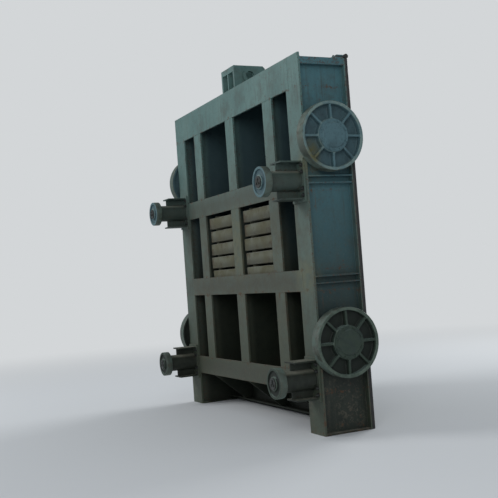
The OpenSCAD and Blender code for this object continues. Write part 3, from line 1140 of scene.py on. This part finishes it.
@dataclass
class WeldBeads:
    """Fillet welds laid as overlapping ripples."""

    bench: Workbench
    finish: Material
    leg: float = 9 * MM
    pitch: float = 15 * MM
    ring_parts: int = 28
    seams: dict[str, list[tuple[Vector, Vector]]] = field(default_factory=dict)

    def line(self, group: str, start: tuple, end: tuple) -> None:
        """Note a straight seam of a group from one point to another."""
        self.seams.setdefault(group, []).append((Vector(start), Vector(end)))

    def ring(self, group: str, centre: tuple, axis: str, radius: float) -> None:
        """Note a round seam as short straight stretches.

        Args:
            group: the group that the seam belongs to.
            centre: the ring's centre.
            axis: the axis that the ring goes round, X or Y.
            radius: the ring's radius.
        """
        points = circle(Vector(centre), axis, radius, self.ring_parts)
        for first, second in zip(points, points[1:] + points[:1]):
            self.line(group, first, second)

    def ripple(self) -> Object:
        """Make the one ripple that every seam repeats.

        Returns:
            The ripple, lying along Z round the origin.
        """
        self.bench.clear()
        bpy.ops.mesh.primitive_ico_sphere_add(subdivisions=1, radius=1.0)
        piece = self.bench.take("ripple")
        piece.scale = (self.leg, self.leg, self.pitch * 0.8)
        return self.bench.settle(piece)

    def row(self, ripple: Object, name: str, start: Vector, end: Vector) -> Object:
        """Repeat the ripple along one seam.

        Args:
            ripple: the ripple.
            name: the row's name.
            start: where the seam starts.
            end: where it ends.

        Returns:
            The row of ripples.
        """
        run = end - start
        count = max(2, round(run.length / self.pitch))
        row = self.bench.copy(ripple, name, Matrix.Identity(4))
        self.bench.apply(
            row,
            "ARRAY",
            count=count,
            use_relative_offset=False,
            use_constant_offset=True,
            constant_offset_displace=(0, 0, run.length / count),
        )
        row.data.transform(facing(run, start + run / count / 2))
        return row

    def build(self) -> None:
        """Lay every seam and join each group into one piece on the leaf."""
        ripple = self.ripple()
        for group, seams in self.seams.items():
            rows = [self.row(ripple, f"seam_{i}", *seam) for i, seam in enumerate(seams)]
            piece = self.bench.join(rows, group)
            piece.data.materials.append(self.finish)
            self.bench.activate(piece)
            bpy.ops.object.shade_smooth()
            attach(piece, "leaf")
            LOG.info("welds %s: %d seams, %d faces", group, len(seams), len(piece.data.polygons))
        self.bench.drop(ripple)


@dataclass
class GreaseNipples:
    """Small turned nipples through which the axles and pins are greased."""

    bench: Workbench
    finish: Material
    base: float = 14 * MM
    height: float = 14 * MM
    shape: Object | None = None

    def pattern(self) -> Object:
        """Model one nipple: a hexagon, a waist and a round head.

        Returns:
            The nipple, standing on the origin along +Z.
        """
        h = self.height
        hexagon = self.bench.cylinder("hexagon", 6, self.base / math.sqrt(3), h * 0.4, (0, 0, h * 0.2))
        self.bench.round_off(hexagon, 0.8 * MM)
        low_r, high_r, place = self.base * 0.3, self.base * 0.18, (0, 0, h * 0.6)
        bpy.ops.mesh.primitive_cone_add(
            vertices=16, radius1=low_r, radius2=high_r, depth=h * 0.4, location=place
        )
        waist = self.bench.settle(self.bench.take("waist"))
        bpy.ops.mesh.primitive_uv_sphere_add(
            segments=12, ring_count=8, radius=h * 0.18, location=(0, 0, h * 0.82)
        )
        head = self.bench.settle(self.bench.take("head"))
        shape = self.bench.join([hexagon, waist, head], "nipple_pattern_piece")
        self.bench.smooth(shape, 40)
        return shape

    def place(self, name: str, spot: Vector, outward: Vector) -> None:
        """Screw a nipple into the leaf's own steel.

        Args:
            name: the piece's name.
            spot: where it stands.
            outward: where its head points.
        """
        if self.shape is None:
            self.shape = self.pattern()
        piece = self.bench.copy(self.shape, name, facing(outward, spot))
        piece.data.materials.append(self.finish)
        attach(piece, "leaf")

    def clear_pattern(self) -> None:
        """Delete the nipple that was only copied from."""
        if self.shape is not None:
            self.bench.drop(self.shape)
            self.shape = None


@dataclass
class CastWheel:
    """A dished cast wheel with ribs, modelled on Z with its hub's inner face at zero."""

    bench: Workbench
    diameter: float
    hub_length: float
    bore: float = 112 * MM
    hub: float = 310 * MM
    hub_stand: float = 3.5 * MM
    rim: float = 30 * MM
    web: float = 26 * MM
    ribs: int = 8
    rib: float = 22 * MM
    voxel: float = 5 * MM

    @property
    def tread(self) -> float:
        """Width of the tread."""
        return self.hub_length - 2 * self.hub_stand

    @property
    def web_low(self) -> float:
        """Where the web starts along the hub."""
        return self.hub_stand + self.tread * 0.25

    def turned_body(self) -> Object:
        """Model rim, web and hub from one disc by insets and extrusions.

        Returns:
            The body without its ribs and bore.
        """
        radius = self.diameter / 2
        web_high = self.web_low + self.web
        insets = (self.rim, radius - self.rim - self.hub / 2, (self.hub - self.bore) / 2)
        upper = (web_high - self.hub_stand - self.tread, self.hub_length - web_high, 0.0)
        lower = (self.web_low - self.hub_stand, -self.web_low, 0.0)
        piece = self.bench.cylinder("wheel_body", 96, radius, self.tread, (0, 0, self.hub_length / 2))
        self.bench.sink_ends(piece, {1: list(zip(insets, upper)), -1: list(zip(insets, lower))})
        return piece

    def rib_bars(self) -> list[Object]:
        """Model one tapered rib and copy it round the hub.

        Returns:
            The ribs.
        """
        inner, outer = self.hub / 2 - self.rim / 4, self.diameter / 2 - self.rim * 0.75
        low, high = self.web_low + self.web / 2, self.hub_length - self.rim / 3
        place = Vector(((inner + outer) / 2, 0, (low + high) / 2))
        bar = self.bench.box("rib", place, Vector((outer - inner, self.rib, high - low)))
        self.bench.edit(bar)
        slope = math.atan2(self.hub_stand + self.rim / 6, outer - inner)
        bpy.ops.mesh.select_all(action="SELECT")
        bpy.ops.mesh.bisect(
            plane_co=(inner, 0, high),
            plane_no=(math.sin(slope), 0, math.cos(slope)),
            use_fill=True,
            clear_outer=True,
        )
        self.bench.clear()
        turns = [Matrix.Rotation(2 * math.pi * i / self.ribs, 4, "Z") for i in range(self.ribs)]
        bars = [self.bench.copy(bar, f"rib_{i}", turn) for i, turn in enumerate(turns)]
        self.bench.drop(bar)
        return bars

    def build(self, finish: WheelFinish) -> Object:
        """Fuse body and ribs into one casting with soft fillets, and open its bore.

        Args:
            finish: the two finishes.

        Returns:
            The wheel with its finishes on.
        """
        piece = self.bench.join([self.turned_body(), *self.rib_bars()], "casting")
        self.bench.apply(piece, "REMESH", mode="VOXEL", voxel_size=self.voxel, adaptivity=0.0)
        self.bench.apply(piece, "SMOOTH", factor=0.5, iterations=3)
        self.bench.apply(piece, "DECIMATE", ratio=0.35)
        self.bench.drill(piece, self.bore, 48, self.hub_length)
        self.bench.smooth(piece, 50)
        finish.put_on(piece, self.diameter / 2 - 4 * MM)
        return piece


@dataclass
class MainWheels:
    """The four main wheels with their bolted hub caps and the nipples that grease them."""

    bench: Workbench
    bolts: Fasteners
    nipples: GreaseNipples
    finish: WheelFinish
    cap_screw: Bolt = Bolt(18 * MM)
    cap_screws: int = 8
    cap_screw_edge: float = 14 * MM
    cap_flange: float = 10 * MM

    def build(self) -> None:
        """Model one wheel and stand a copy for each of the four nodes."""
        low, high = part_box("main_wheel_upper_right")
        pattern = CastWheel(self.bench, high.z - low.z, high.x - low.x).build(self.finish)
        for level, side in CORNERS:
            name = corner_name("main_wheel", level, side)
            low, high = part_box(name)
            centre = (low + high) / 2
            inner_x = low.x if side is Side.RIGHT else high.x
            place = facing(side.outward, Vector((inner_x, centre.y, centre.z)))
            piece = self.bench.copy(pattern, f"{name}_casting", place)
            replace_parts(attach(piece, name), name)
            self.cap_ring(name, level, side, centre)
            self.axle_nipple(level, side, centre)
            LOG.info("main wheel %s: %d faces", name, len(piece.data.polygons))
        self.bench.drop(pattern)

    def cap_ring(self, body: str, level: Level, side: Side, centre: Vector) -> None:
        """Screw a hub cap down round its flange.

        Args:
            body: the wheel that the cap turns with.
            level: row of the wheel.
            side: end of the leaf.
            centre: the wheel's middle.
        """
        low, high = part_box(corner_name("hub_cap", level, side))
        radius = (high.z - low.z) / 2 - self.cap_screw_edge
        face_x = low.x + self.cap_flange if side is Side.RIGHT else high.x - self.cap_flange
        middle = Vector((face_x, centre.y, centre.z))
        spots = circle(middle, "X", radius, self.cap_screws, math.pi / self.cap_screws)
        name = corner_name("cap_screws", level, side)
        self.bolts.place(name, self.cap_screw, spots, side.outward, body, self.finish.casting)

    def axle_nipple(self, level: Level, side: Side, centre: Vector) -> None:
        """Fit a nipple to the head of an axle, inside the end bay.

        Args:
            level: row of the wheel.
            side: end of the leaf.
            centre: the wheel's middle.
        """
        low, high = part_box(corner_name("axle", level, side))
        head_x = low.x if side is Side.RIGHT else high.x
        place = Vector((head_x, centre.y, centre.z))
        self.nipples.place(corner_name("axle_nipple", level, side), place, -side.outward)


@dataclass
class GuideWheels:
    """The four turned guide wheels, with their brackets' bolts and welds."""

    bench: Workbench
    bolts: Fasteners
    nipples: GreaseNipples
    welds: WeldBeads
    finish: WheelFinish
    steel: Material
    rim: float = 24 * MM
    dish: float = 14 * MM
    hub: float = 130 * MM
    bore: float = 70.1 * MM
    hub_stand: float = 4 * MM
    bore_lip: float = 6 * MM
    base_thickness: float = 20 * MM
    boss_radius: float = 97 * MM
    cheek: float = 170 * MM
    cheek_half: float = 98 * MM
    cheek_weld: float = 9 * MM
    base_bolt: Bolt = Bolt(24 * MM, stud=True)
    base_spots: tuple[tuple[float, float], ...] = ((97 * MM, 76 * MM), (97 * MM, 138 * MM))
    disc_screw: Bolt = Bolt(18 * MM)
    disc_screws: int = 3
    disc_ring: float = 24 * MM

    def build(self) -> None:
        """Model one guide wheel and stand a copy for each of the four nodes."""
        low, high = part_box("guide_wheel_upper_right")
        pattern = self.turned_wheel((high.z - low.z) / 2, high.y - low.y)
        for level, side in CORNERS:
            name = corner_name("guide_wheel", level, side)
            low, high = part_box(name)
            centre = (low + high) / 2
            place = facing(AHEAD, Vector((centre.x, high.y, centre.z)))
            piece = self.bench.copy(pattern, f"{name}_turned", place)
            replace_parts(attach(piece, name), name)
            self.bracket(level, side)
            self.pin_end(level, side, centre)
            LOG.info("guide wheel %s: %d faces", name, len(piece.data.polygons))
        self.bench.drop(pattern)

    def turned_wheel(self, radius: float, length: float) -> Object:
        """Model a wheel on Z from a disc, by insets and extrusions on both faces.

        Args:
            radius: radius of the tread.
            length: length of the hub, whose inner face is at zero.

        Returns:
            The wheel with its edges rounded and its finishes on.
        """
        tread = length - 2 * self.hub_stand
        piece = self.bench.cylinder("turned_wheel", 96, radius, tread, (0, 0, length / 2))
        insets = (self.rim, radius - self.rim - self.hub / 2, (self.hub - self.bore) / 2 - self.bore_lip)
        moves = (-self.dish, self.dish + self.hub_stand, 0.0)
        steps = {sign: [(inset, sign * move) for inset, move in zip(insets, moves)] for sign in (1, -1)}
        self.bench.sink_ends(piece, steps)
        self.bench.drill(piece, self.bore, 64, length)
        self.bench.apply(piece, "BEVEL", width=3 * MM, segments=2, limit_method="ANGLE", angle_limit=0.7)
        self.bench.smooth(piece, 50)
        self.finish.put_on(piece, radius - 2 * MM)
        return piece

    def bracket(self, level: Level, side: Side) -> None:
        """Bolt a bracket's base plate to the flange, and weld the bracket's plates to it.

        Args:
            level: row of the wheel.
            side: end of the leaf.
        """
        low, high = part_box(corner_name("guide_bracket", level, side))
        middle = (low + high) / 2
        middle.y = high.y - self.base_thickness
        signs = [(sign_x, sign_z) for sign_x in (-1, 1) for sign_z in (-1, 1)]
        spots = [middle + Vector((u * x, 0, v * z)) for x, z in self.base_spots for u, v in signs]
        name = corner_name("bracket_bolts", level, side)
        self.bolts.place(name, self.base_bolt, spots, AHEAD, "leaf", self.steel)
        self.welds.ring("weld_brackets", middle, "Y", self.boss_radius)
        half = Vector((self.cheek_half, 0, 0))
        for sign in (-1, 1):
            cheek = middle + sign * (self.cheek - self.cheek_weld) * UP
            self.welds.line("weld_brackets", cheek - half, cheek + half)

    def pin_end(self, level: Level, side: Side, centre: Vector) -> None:
        """Screw the retaining disc to the pin's end, with a nipple in its middle.

        Args:
            level: row of the wheel.
            side: end of the leaf.
            centre: the wheel's middle.
        """
        disc_low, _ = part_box(corner_name("guide_pin", level, side))
        middle = Vector((centre.x, disc_low.y, centre.z))
        spots = circle(middle, "Y", self.disc_ring, self.disc_screws, math.pi / 2)
        name = corner_name("disc_screws", level, side)
        self.bolts.place(name, self.disc_screw, spots, AHEAD, "leaf", self.steel)
        self.nipples.place(corner_name("pin_nipple", level, side), middle, AHEAD)


@dataclass
class LeafWelds:
    """The seams that hold the leaf's plates together."""

    sizes: GateSizes
    welds: WeldBeads
    web: float = 7 * MM
    flange: float = 20 * MM
    flange_sunk: float = 5 * MM
    diaphragm: float = 6 * MM
    top_plate: float = 16 * MM
    outer_web: float = 60 * MM
    boss: float = 107 * MM
    channel_half: float = 38 * MM
    lug_doubler: float = 12 * MM
    lug_plate: float = 30 * MM
    lug_middle_half: float = 10 * MM
    skin_sunk: float = 6 * MM
    skin_joint: float = 1.86
    skin_step: float = -0.47
    skin_edge: float = 80 * MM
    skin_foot: float = 100 * MM

    def build(self) -> None:
        """Note every seam of the leaf."""
        self.girder_seams()
        self.diaphragm_seams()
        self.flange_joints()
        self.end_seams()
        self.lug_seams()
        self.skin_seams()

    def girder_seams(self) -> None:
        """Weld the girder webs to their flanges and to the skin, and the top plate to its flange."""
        s = self.sizes
        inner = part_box("sill_bar")[1].x
        for level in s.girders:
            for z in (level - self.web, level + self.web):
                for y in (s.front + self.flange, s.skin):
                    self.welds.line("weld_girders", (-inner, y, z), (inner, y, z))
        y, z = s.front + self.flange, s.plate_top
        self.welds.line("weld_top_plate", (-s.half_width, y, z), (s.half_width, y, z))

    def diaphragm_seams(self) -> None:
        """Weld the diaphragm webs to their flanges."""
        s = self.sizes
        y = s.front + self.flange
        levels = [*s.girders, (s.height + s.top_edge) / 2]
        for post in s.posts:
            for low, high in zip(levels, levels[1:]):
                for x in (post - self.diaphragm, post + self.diaphragm):
                    start = (x, y, low + FLANGE_HALF)
                    self.welds.line("weld_diaphragms", start, (x, y, high - FLANGE_HALF))

    def flange_joints(self) -> None:
        """Butt the front flanges to each other with low flush beads."""
        s = self.sizes
        y, half = s.front + self.flange_sunk, FLANGE_HALF
        rows = [(level - half, level + half) for level in s.girders] + [(s.top_edge, s.height)]
        for i, (low, high) in enumerate(rows):
            for side in Side:
                x = side.value * s.flange_edge
                self.welds.line("weld_flange_joints", (x, y, low), (x, y, high))
            for x in s.posts:
                for z in [low] * (i > 0) + [high] * (i < len(rows) - 1):
                    self.welds.line("weld_flange_joints", (x - half, y, z), (x + half, y, z))

    def end_seams(self) -> None:
        """Weld the end beams' webs, channels and axle bosses."""
        s = self.sizes
        front = s.front + self.flange
        for side in Side:
            x = side.value * (s.half_width - self.outer_web)
            for y in (front, s.skin):
                ends = (x, y, self.top_plate), (x, y, s.plate_top - self.top_plate)
                self.welds.line("weld_end_beams", *ends)
            for level in s.girders[1:]:
                for z in (level - self.channel_half, level + self.channel_half):
                    self.welds.line("weld_end_beams", (x, front, z), (x, s.skin, z))
            for row in Level:
                low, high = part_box(corner_name("main_wheel", row, side))
                centre = (low + high) / 2
                self.welds.ring("weld_end_beams", (x, centre.y, centre.z), "X", self.boss)

    def lug_seams(self) -> None:
        """Weld the lug plates to the top plate."""
        low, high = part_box("lifting_lug")
        outer, middle, z = high.x - self.lug_doubler, self.lug_middle_half, self.sizes.plate_top
        inner = outer - self.lug_plate
        for x in (-outer, -inner, -middle, middle, inner, outer):
            self.welds.line("weld_lug", (x, low.y, z), (x, high.y, z))

    def skin_seams(self) -> None:
        """Butt the skin's three plates to each other with low beads."""
        s = self.sizes
        y, edge, z = s.back - self.skin_sunk, s.half_width - self.skin_edge, self.skin_joint
        self.welds.line("weld_skin", (-edge, y, z), (edge, y, z))
        self.welds.line("weld_skin", (self.skin_step, y, self.skin_foot), (self.skin_step, y, z))


@dataclass
class SealFixings:
    """The rows of bolts that clamp the seals to the skin."""

    sizes: GateSizes
    bolts: Fasteners
    finish: Material
    pitch: float = 150 * MM
    bolt: Bolt = Bolt(24 * MM, stud=True)
    clamp_middle: float = 35 * MM
    bottom_z: float = 62.5 * MM
    lowest: float = 160 * MM
    side_margin: float = 200 * MM
    bottom_margin: float = 100 * MM
    top_margin: float = 60 * MM

    def build(self) -> None:
        """Bolt the side, bottom and top clamp bars."""
        _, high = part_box("seal_clamps")
        seal_low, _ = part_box("side_seal_right")
        bar_x = seal_low.x + self.clamp_middle
        count = int((self.sizes.plate_top - self.side_margin) / self.pitch)
        heights = [self.lowest + i * self.pitch for i in range(count)]
        spots = [Vector((x, high.y, z)) for x in (-bar_x, bar_x) for z in heights]
        spots += self.row(bar_x - self.bottom_margin, high.y, self.bottom_z)
        self.bolts.place("seal_bolts_back", self.bolt, spots, BEHIND, "leaf", self.finish)
        y = self.sizes.skin - self.clamp_middle
        spots = self.row(self.sizes.half_width - self.top_margin, y, high.z)
        self.bolts.place("seal_bolts_top", self.bolt, spots, UP, "leaf", self.finish)

    def row(self, half: float, y: float, z: float) -> list[Vector]:
        """Space bolts evenly along X over a width, given as its half."""
        count = int(2 * half / self.pitch)
        return [Vector(((i - count / 2) * self.pitch, y, z)) for i in range(count + 1)]


@dataclass
class BallastStack:
    """Rough cast blocks with rounded edges, standing for the plain ones."""

    bench: Workbench
    finish: Material
    side: Side
    bearer: float = 44 * MM
    bearer_width: float = 90 * MM
    pitch: float = 150 * MM
    block_h: float = 126 * MM
    slack: float = 7 * MM
    edge: float = 7 * MM
    unevenness: float = 0.9 * MM
    nib_edge: float = 3 * MM
    nib_radius: float = 45 * MM
    nib_spots: tuple[float, float] = (260 * MM, 85 * MM)
    lay: tuple[tuple[float, float, float], ...] = (
        (0.0, 2 * MM, 0.3),
        (4 * MM, -3 * MM, -0.5),
        (-3 * MM, -5 * MM, 0.4),
        (3 * MM, 3 * MM, 0.2),
        (-4 * MM, -4 * MM, -0.6),
    )

    def build(self) -> None:
        """Model the blocks, their nibs and the bearers of one stack."""
        node = f"ballast_{self.side.name.lower()}"
        low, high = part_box(node)
        middle, size = (low + high) / 2, high - low
        block_size = Vector((size.x - 2 * self.slack, size.y - 2 * self.slack, self.block_h))
        parts = []
        for i, (shift_x, shift_y, turn) in enumerate(self.lay):
            z = low.z + self.bearer + i * self.pitch + self.block_h / 2
            place = Vector((middle.x + shift_x * self.side.value, middle.y + shift_y, z))
            block = self.block(place, block_size, i)
            spin = Matrix.Rotation(math.radians(turn * self.side.value), 4, "Z")
            block.data.transform(Matrix.Translation(place) @ spin @ Matrix.Translation(-place))
            parts.append(block)
            nib_x, nib_y = self.nib_spots
            for sx in (-1, 1):
                for sy in (-1, 1):
                    parts.append(self.nib(middle.x + sx * nib_x, middle.y + sy * nib_y, z))
        for sx in (-1, 1):
            x = middle.x + sx * (size.x - self.bearer_width) / 2
            place = Vector((x, middle.y, low.z + self.bearer / 2))
            parts.append(self.block(place, Vector((self.bearer_width, size.y, self.bearer)), 9))
        piece = self.bench.join(parts, f"{node}_castings")
        self.bench.smooth(piece, 40)
        piece.data.materials.clear()
        piece.data.materials.append(self.finish)
        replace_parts(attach(piece, "leaf"), node)
        LOG.info("ballast %s: %d faces", node, len(piece.data.polygons))

    def block(self, place: Vector, size: Vector, seed: int) -> Object:
        """Model one block with rounded edges and a slightly uneven skin.

        Args:
            place: its middle.
            size: its lengths along X, Y and Z.
            seed: number that starts its random draws.

        Returns:
            The block.
        """
        piece = self.bench.round_off(self.bench.box("block", place, size), self.edge, segments=3)
        self.bench.edit(piece, "EDGE")
        bpy.ops.mesh.select_all(action="SELECT")
        bpy.ops.mesh.subdivide(number_cuts=6)
        bpy.ops.transform.vertex_random(offset=self.unevenness, uniform=0.0, normal=0.3, seed=seed)
        self.bench.clear()
        return piece

    def nib(self, x: float, y: float, block_z: float) -> Object:
        """Model one round nib on top of a block.

        Args:
            x: the nib's place along X.
            y: the nib's place along Y.
            block_z: height of the block's middle.

        Returns:
            The nib.
        """
        gap = self.pitch - self.block_h
        place = (x, y, block_z + self.block_h / 2 + gap / 2)
        nib = self.bench.cylinder("nib", 24, self.nib_radius, gap, place)
        return self.bench.round_off(nib, self.nib_edge)


@dataclass
class Studio:
    """Pale floor, soft lamps and the camera at the photograph's viewing angle."""

    sizes: GateSizes
    backdrop: str = "#d3d6d8"
    sky: str = "#dfe6ee"
    sky_strength: float = 0.42
    floor_radius: float = 40.0
    floor_fade: tuple[float, float] = (3.0, 13.0)
    eye: tuple[float, float, float] = (8.389, -3.819, 1.469)
    aim: tuple[float, float, float] = (0.15, 0.0, 1.78)
    lens: float = 62.0
    roll: float = -4.13
    lamp_size: float = 5.0
    lamps: tuple[tuple[str, tuple[float, float, float], float], ...] = (
        ("key", (-5.0, -9.0, 8.0), 590.0),
        ("fill", (9.0, -5.0, 5.0), 260.0),
        ("back", (-3.0, 9.0, 7.0), 500.0),
    )

    def floor(self) -> None:
        """Lay a pale floor that fades into the background far from the gate."""
        bpy.ops.object.select_all(action="DESELECT")
        bpy.ops.mesh.primitive_circle_add(vertices=64, radius=self.floor_radius, fill_type="NGON")
        ground = bpy.context.object
        ground.name = "studio_floor"
        r = Recipe("pale_floor")
        matt = r.node("BsdfDiffuse", {"Color": linear(self.backdrop)})[0]
        glow = r.node("Emission", {"Color": linear(self.backdrop), "Strength": 1.0})[0]
        far = r.window(r.length(r.coords), *self.floor_fade)
        fade = r.product(far, r.node("LightPath")["Is Camera Ray"])
        mixed = r.node("MixShader", {0: fade, 1: matt, 2: glow})[0]
        r.node("OutputMaterial", {"Surface": mixed})
        ground.data.materials.append(r.material)

    def world(self) -> None:
        """Light the room softly and show a plain pale background to the camera."""
        world = bpy.data.worlds.new("studio")
        bpy.context.scene.world = world
        world.use_nodes = True
        tree = world.node_tree
        tree.nodes.clear()
        seen = add_node(tree, "LightPath")["Is Camera Ray"]
        skies = ((self.sky, self.sky_strength), (self.backdrop, 1.0))
        inputs = [{"Color": linear(colour), "Strength": strength} for colour, strength in skies]
        ambient, pale = (add_node(tree, "Background", values)[0] for values in inputs)
        mixed = add_node(tree, "MixShader", {0: seen, 1: ambient, 2: pale})[0]
        add_node(tree, "OutputWorld", {"Surface": mixed})

    def lamp(self, name: str, place: tuple, power: float) -> None:
        """Hang a square soft lamp that faces the middle of the gate.

        Args:
            name: the lamp's name.
            place: where it hangs.
            power: its power in watts.
        """
        data = bpy.data.lights.new(name, "AREA")
        data.shape = "SQUARE"
        data.size = self.lamp_size
        data.energy = power
        lamp = bpy.data.objects.new(name, data)
        lamp.location = place
        aim = Vector((0, 0, self.sizes.height / 2)) - Vector(place)
        lamp.rotation_euler = aim.to_track_quat("-Z", "Y").to_euler()
        bpy.context.scene.collection.objects.link(lamp)

    def camera(self) -> None:
        """Set the camera at the photograph's eye point, with its roll, aimed at the gate."""
        data = bpy.data.cameras.new("camera")
        data.lens = self.lens
        data.sensor_width = 36.0
        camera = bpy.data.objects.new("camera", data)
        bpy.context.scene.collection.objects.link(camera)
        eye = Vector(self.eye) + Vector((0, self.sizes.front, 0))
        ahead = (Vector(self.aim) - eye).normalized()
        level = ahead.cross(UP).normalized()
        up = level.cross(ahead)
        roll = math.radians(self.roll)
        across = math.cos(roll) * level + math.sin(roll) * up
        upward = math.cos(roll) * up - math.sin(roll) * level
        turn = Matrix((across, upward, -ahead)).transposed().to_4x4()
        camera.matrix_world = Matrix.Translation(eye) @ turn
        bpy.context.scene.camera = camera

    def build(self) -> None:
        """Set the whole stage."""
        self.floor()
        self.world()
        for lamp in self.lamps:
            self.lamp(*lamp)
        self.camera()
        bpy.context.scene.view_settings.view_transform = "Standard"


@dataclass
class Leaf:
    """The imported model's own nodes, each with its finish."""

    nodes: dict[str, Object]
    subparts: list[dict[str, str]]
    finishes: dict[str, Material]

    def build(self) -> None:
        """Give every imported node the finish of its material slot."""
        for entry in self.subparts:
            piece = self.nodes[entry["node"]]
            piece.data.materials.clear()
            piece.data.materials.append(self.finishes[entry["material_slot"]])
            LOG.info("node %s: %s", entry["node"], entry["material_slot"])


def main() -> None:
    """Build the dressed gate in order and report each piece."""
    logging.basicConfig(level=logging.INFO, format="%(name)s: %(message)s")
    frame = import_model()
    sizes = GateSizes.read()
    bench = Workbench()
    wheel_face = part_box("main_wheel_upper_right")[1].x - CastWheel.hub_stand
    guide_face = GuideWheels.hub_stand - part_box("guide_wheel_upper_right")[0].y
    stack_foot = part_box("ballast_right")[0].z + BallastStack.bearer
    paint = WeatheredPaint(sizes).build()
    stain = (wheel_face, -35 * MM, 2.55)
    casting = PaintedCasting("painted_sand_casting", "X", wheel_face, pocket=50 * MM, stain=stain).build()
    turned = PaintedCasting("painted_turned_casting", "Y", guide_face, pocket=16 * MM).build()
    tread = WornTread().build()
    steel = TurnedSteel().build()
    iron = RustyIron(stack_foot, BallastStack.pitch).build()
    finishes = {
        "painted_plate": paint,
        "cast_steel": casting,
        "axle_steel": steel,
        "seal_rubber": SealRubber().build(),
        "ballast_iron": iron,
    }
    Leaf(frame["nodes"], frame["record"]["subparts"], finishes).build()
    bolts = Fasteners(bench)
    nipples = GreaseNipples(bench, steel)
    welds = WeldBeads(bench, paint)
    MainWheels(bench, bolts, nipples, WheelFinish(casting, tread)).build()
    GuideWheels(bench, bolts, nipples, welds, WheelFinish(turned, tread), steel).build()
    LeafWelds(sizes, welds).build()
    welds.build()
    SealFixings(sizes, bolts, steel).build()
    for side in Side:
        BallastStack(bench, iron, side).build()
    bolts.clear_patterns()
    nipples.clear_pattern()
    Studio(sizes).build()


if __name__ == "__main__":
    main()
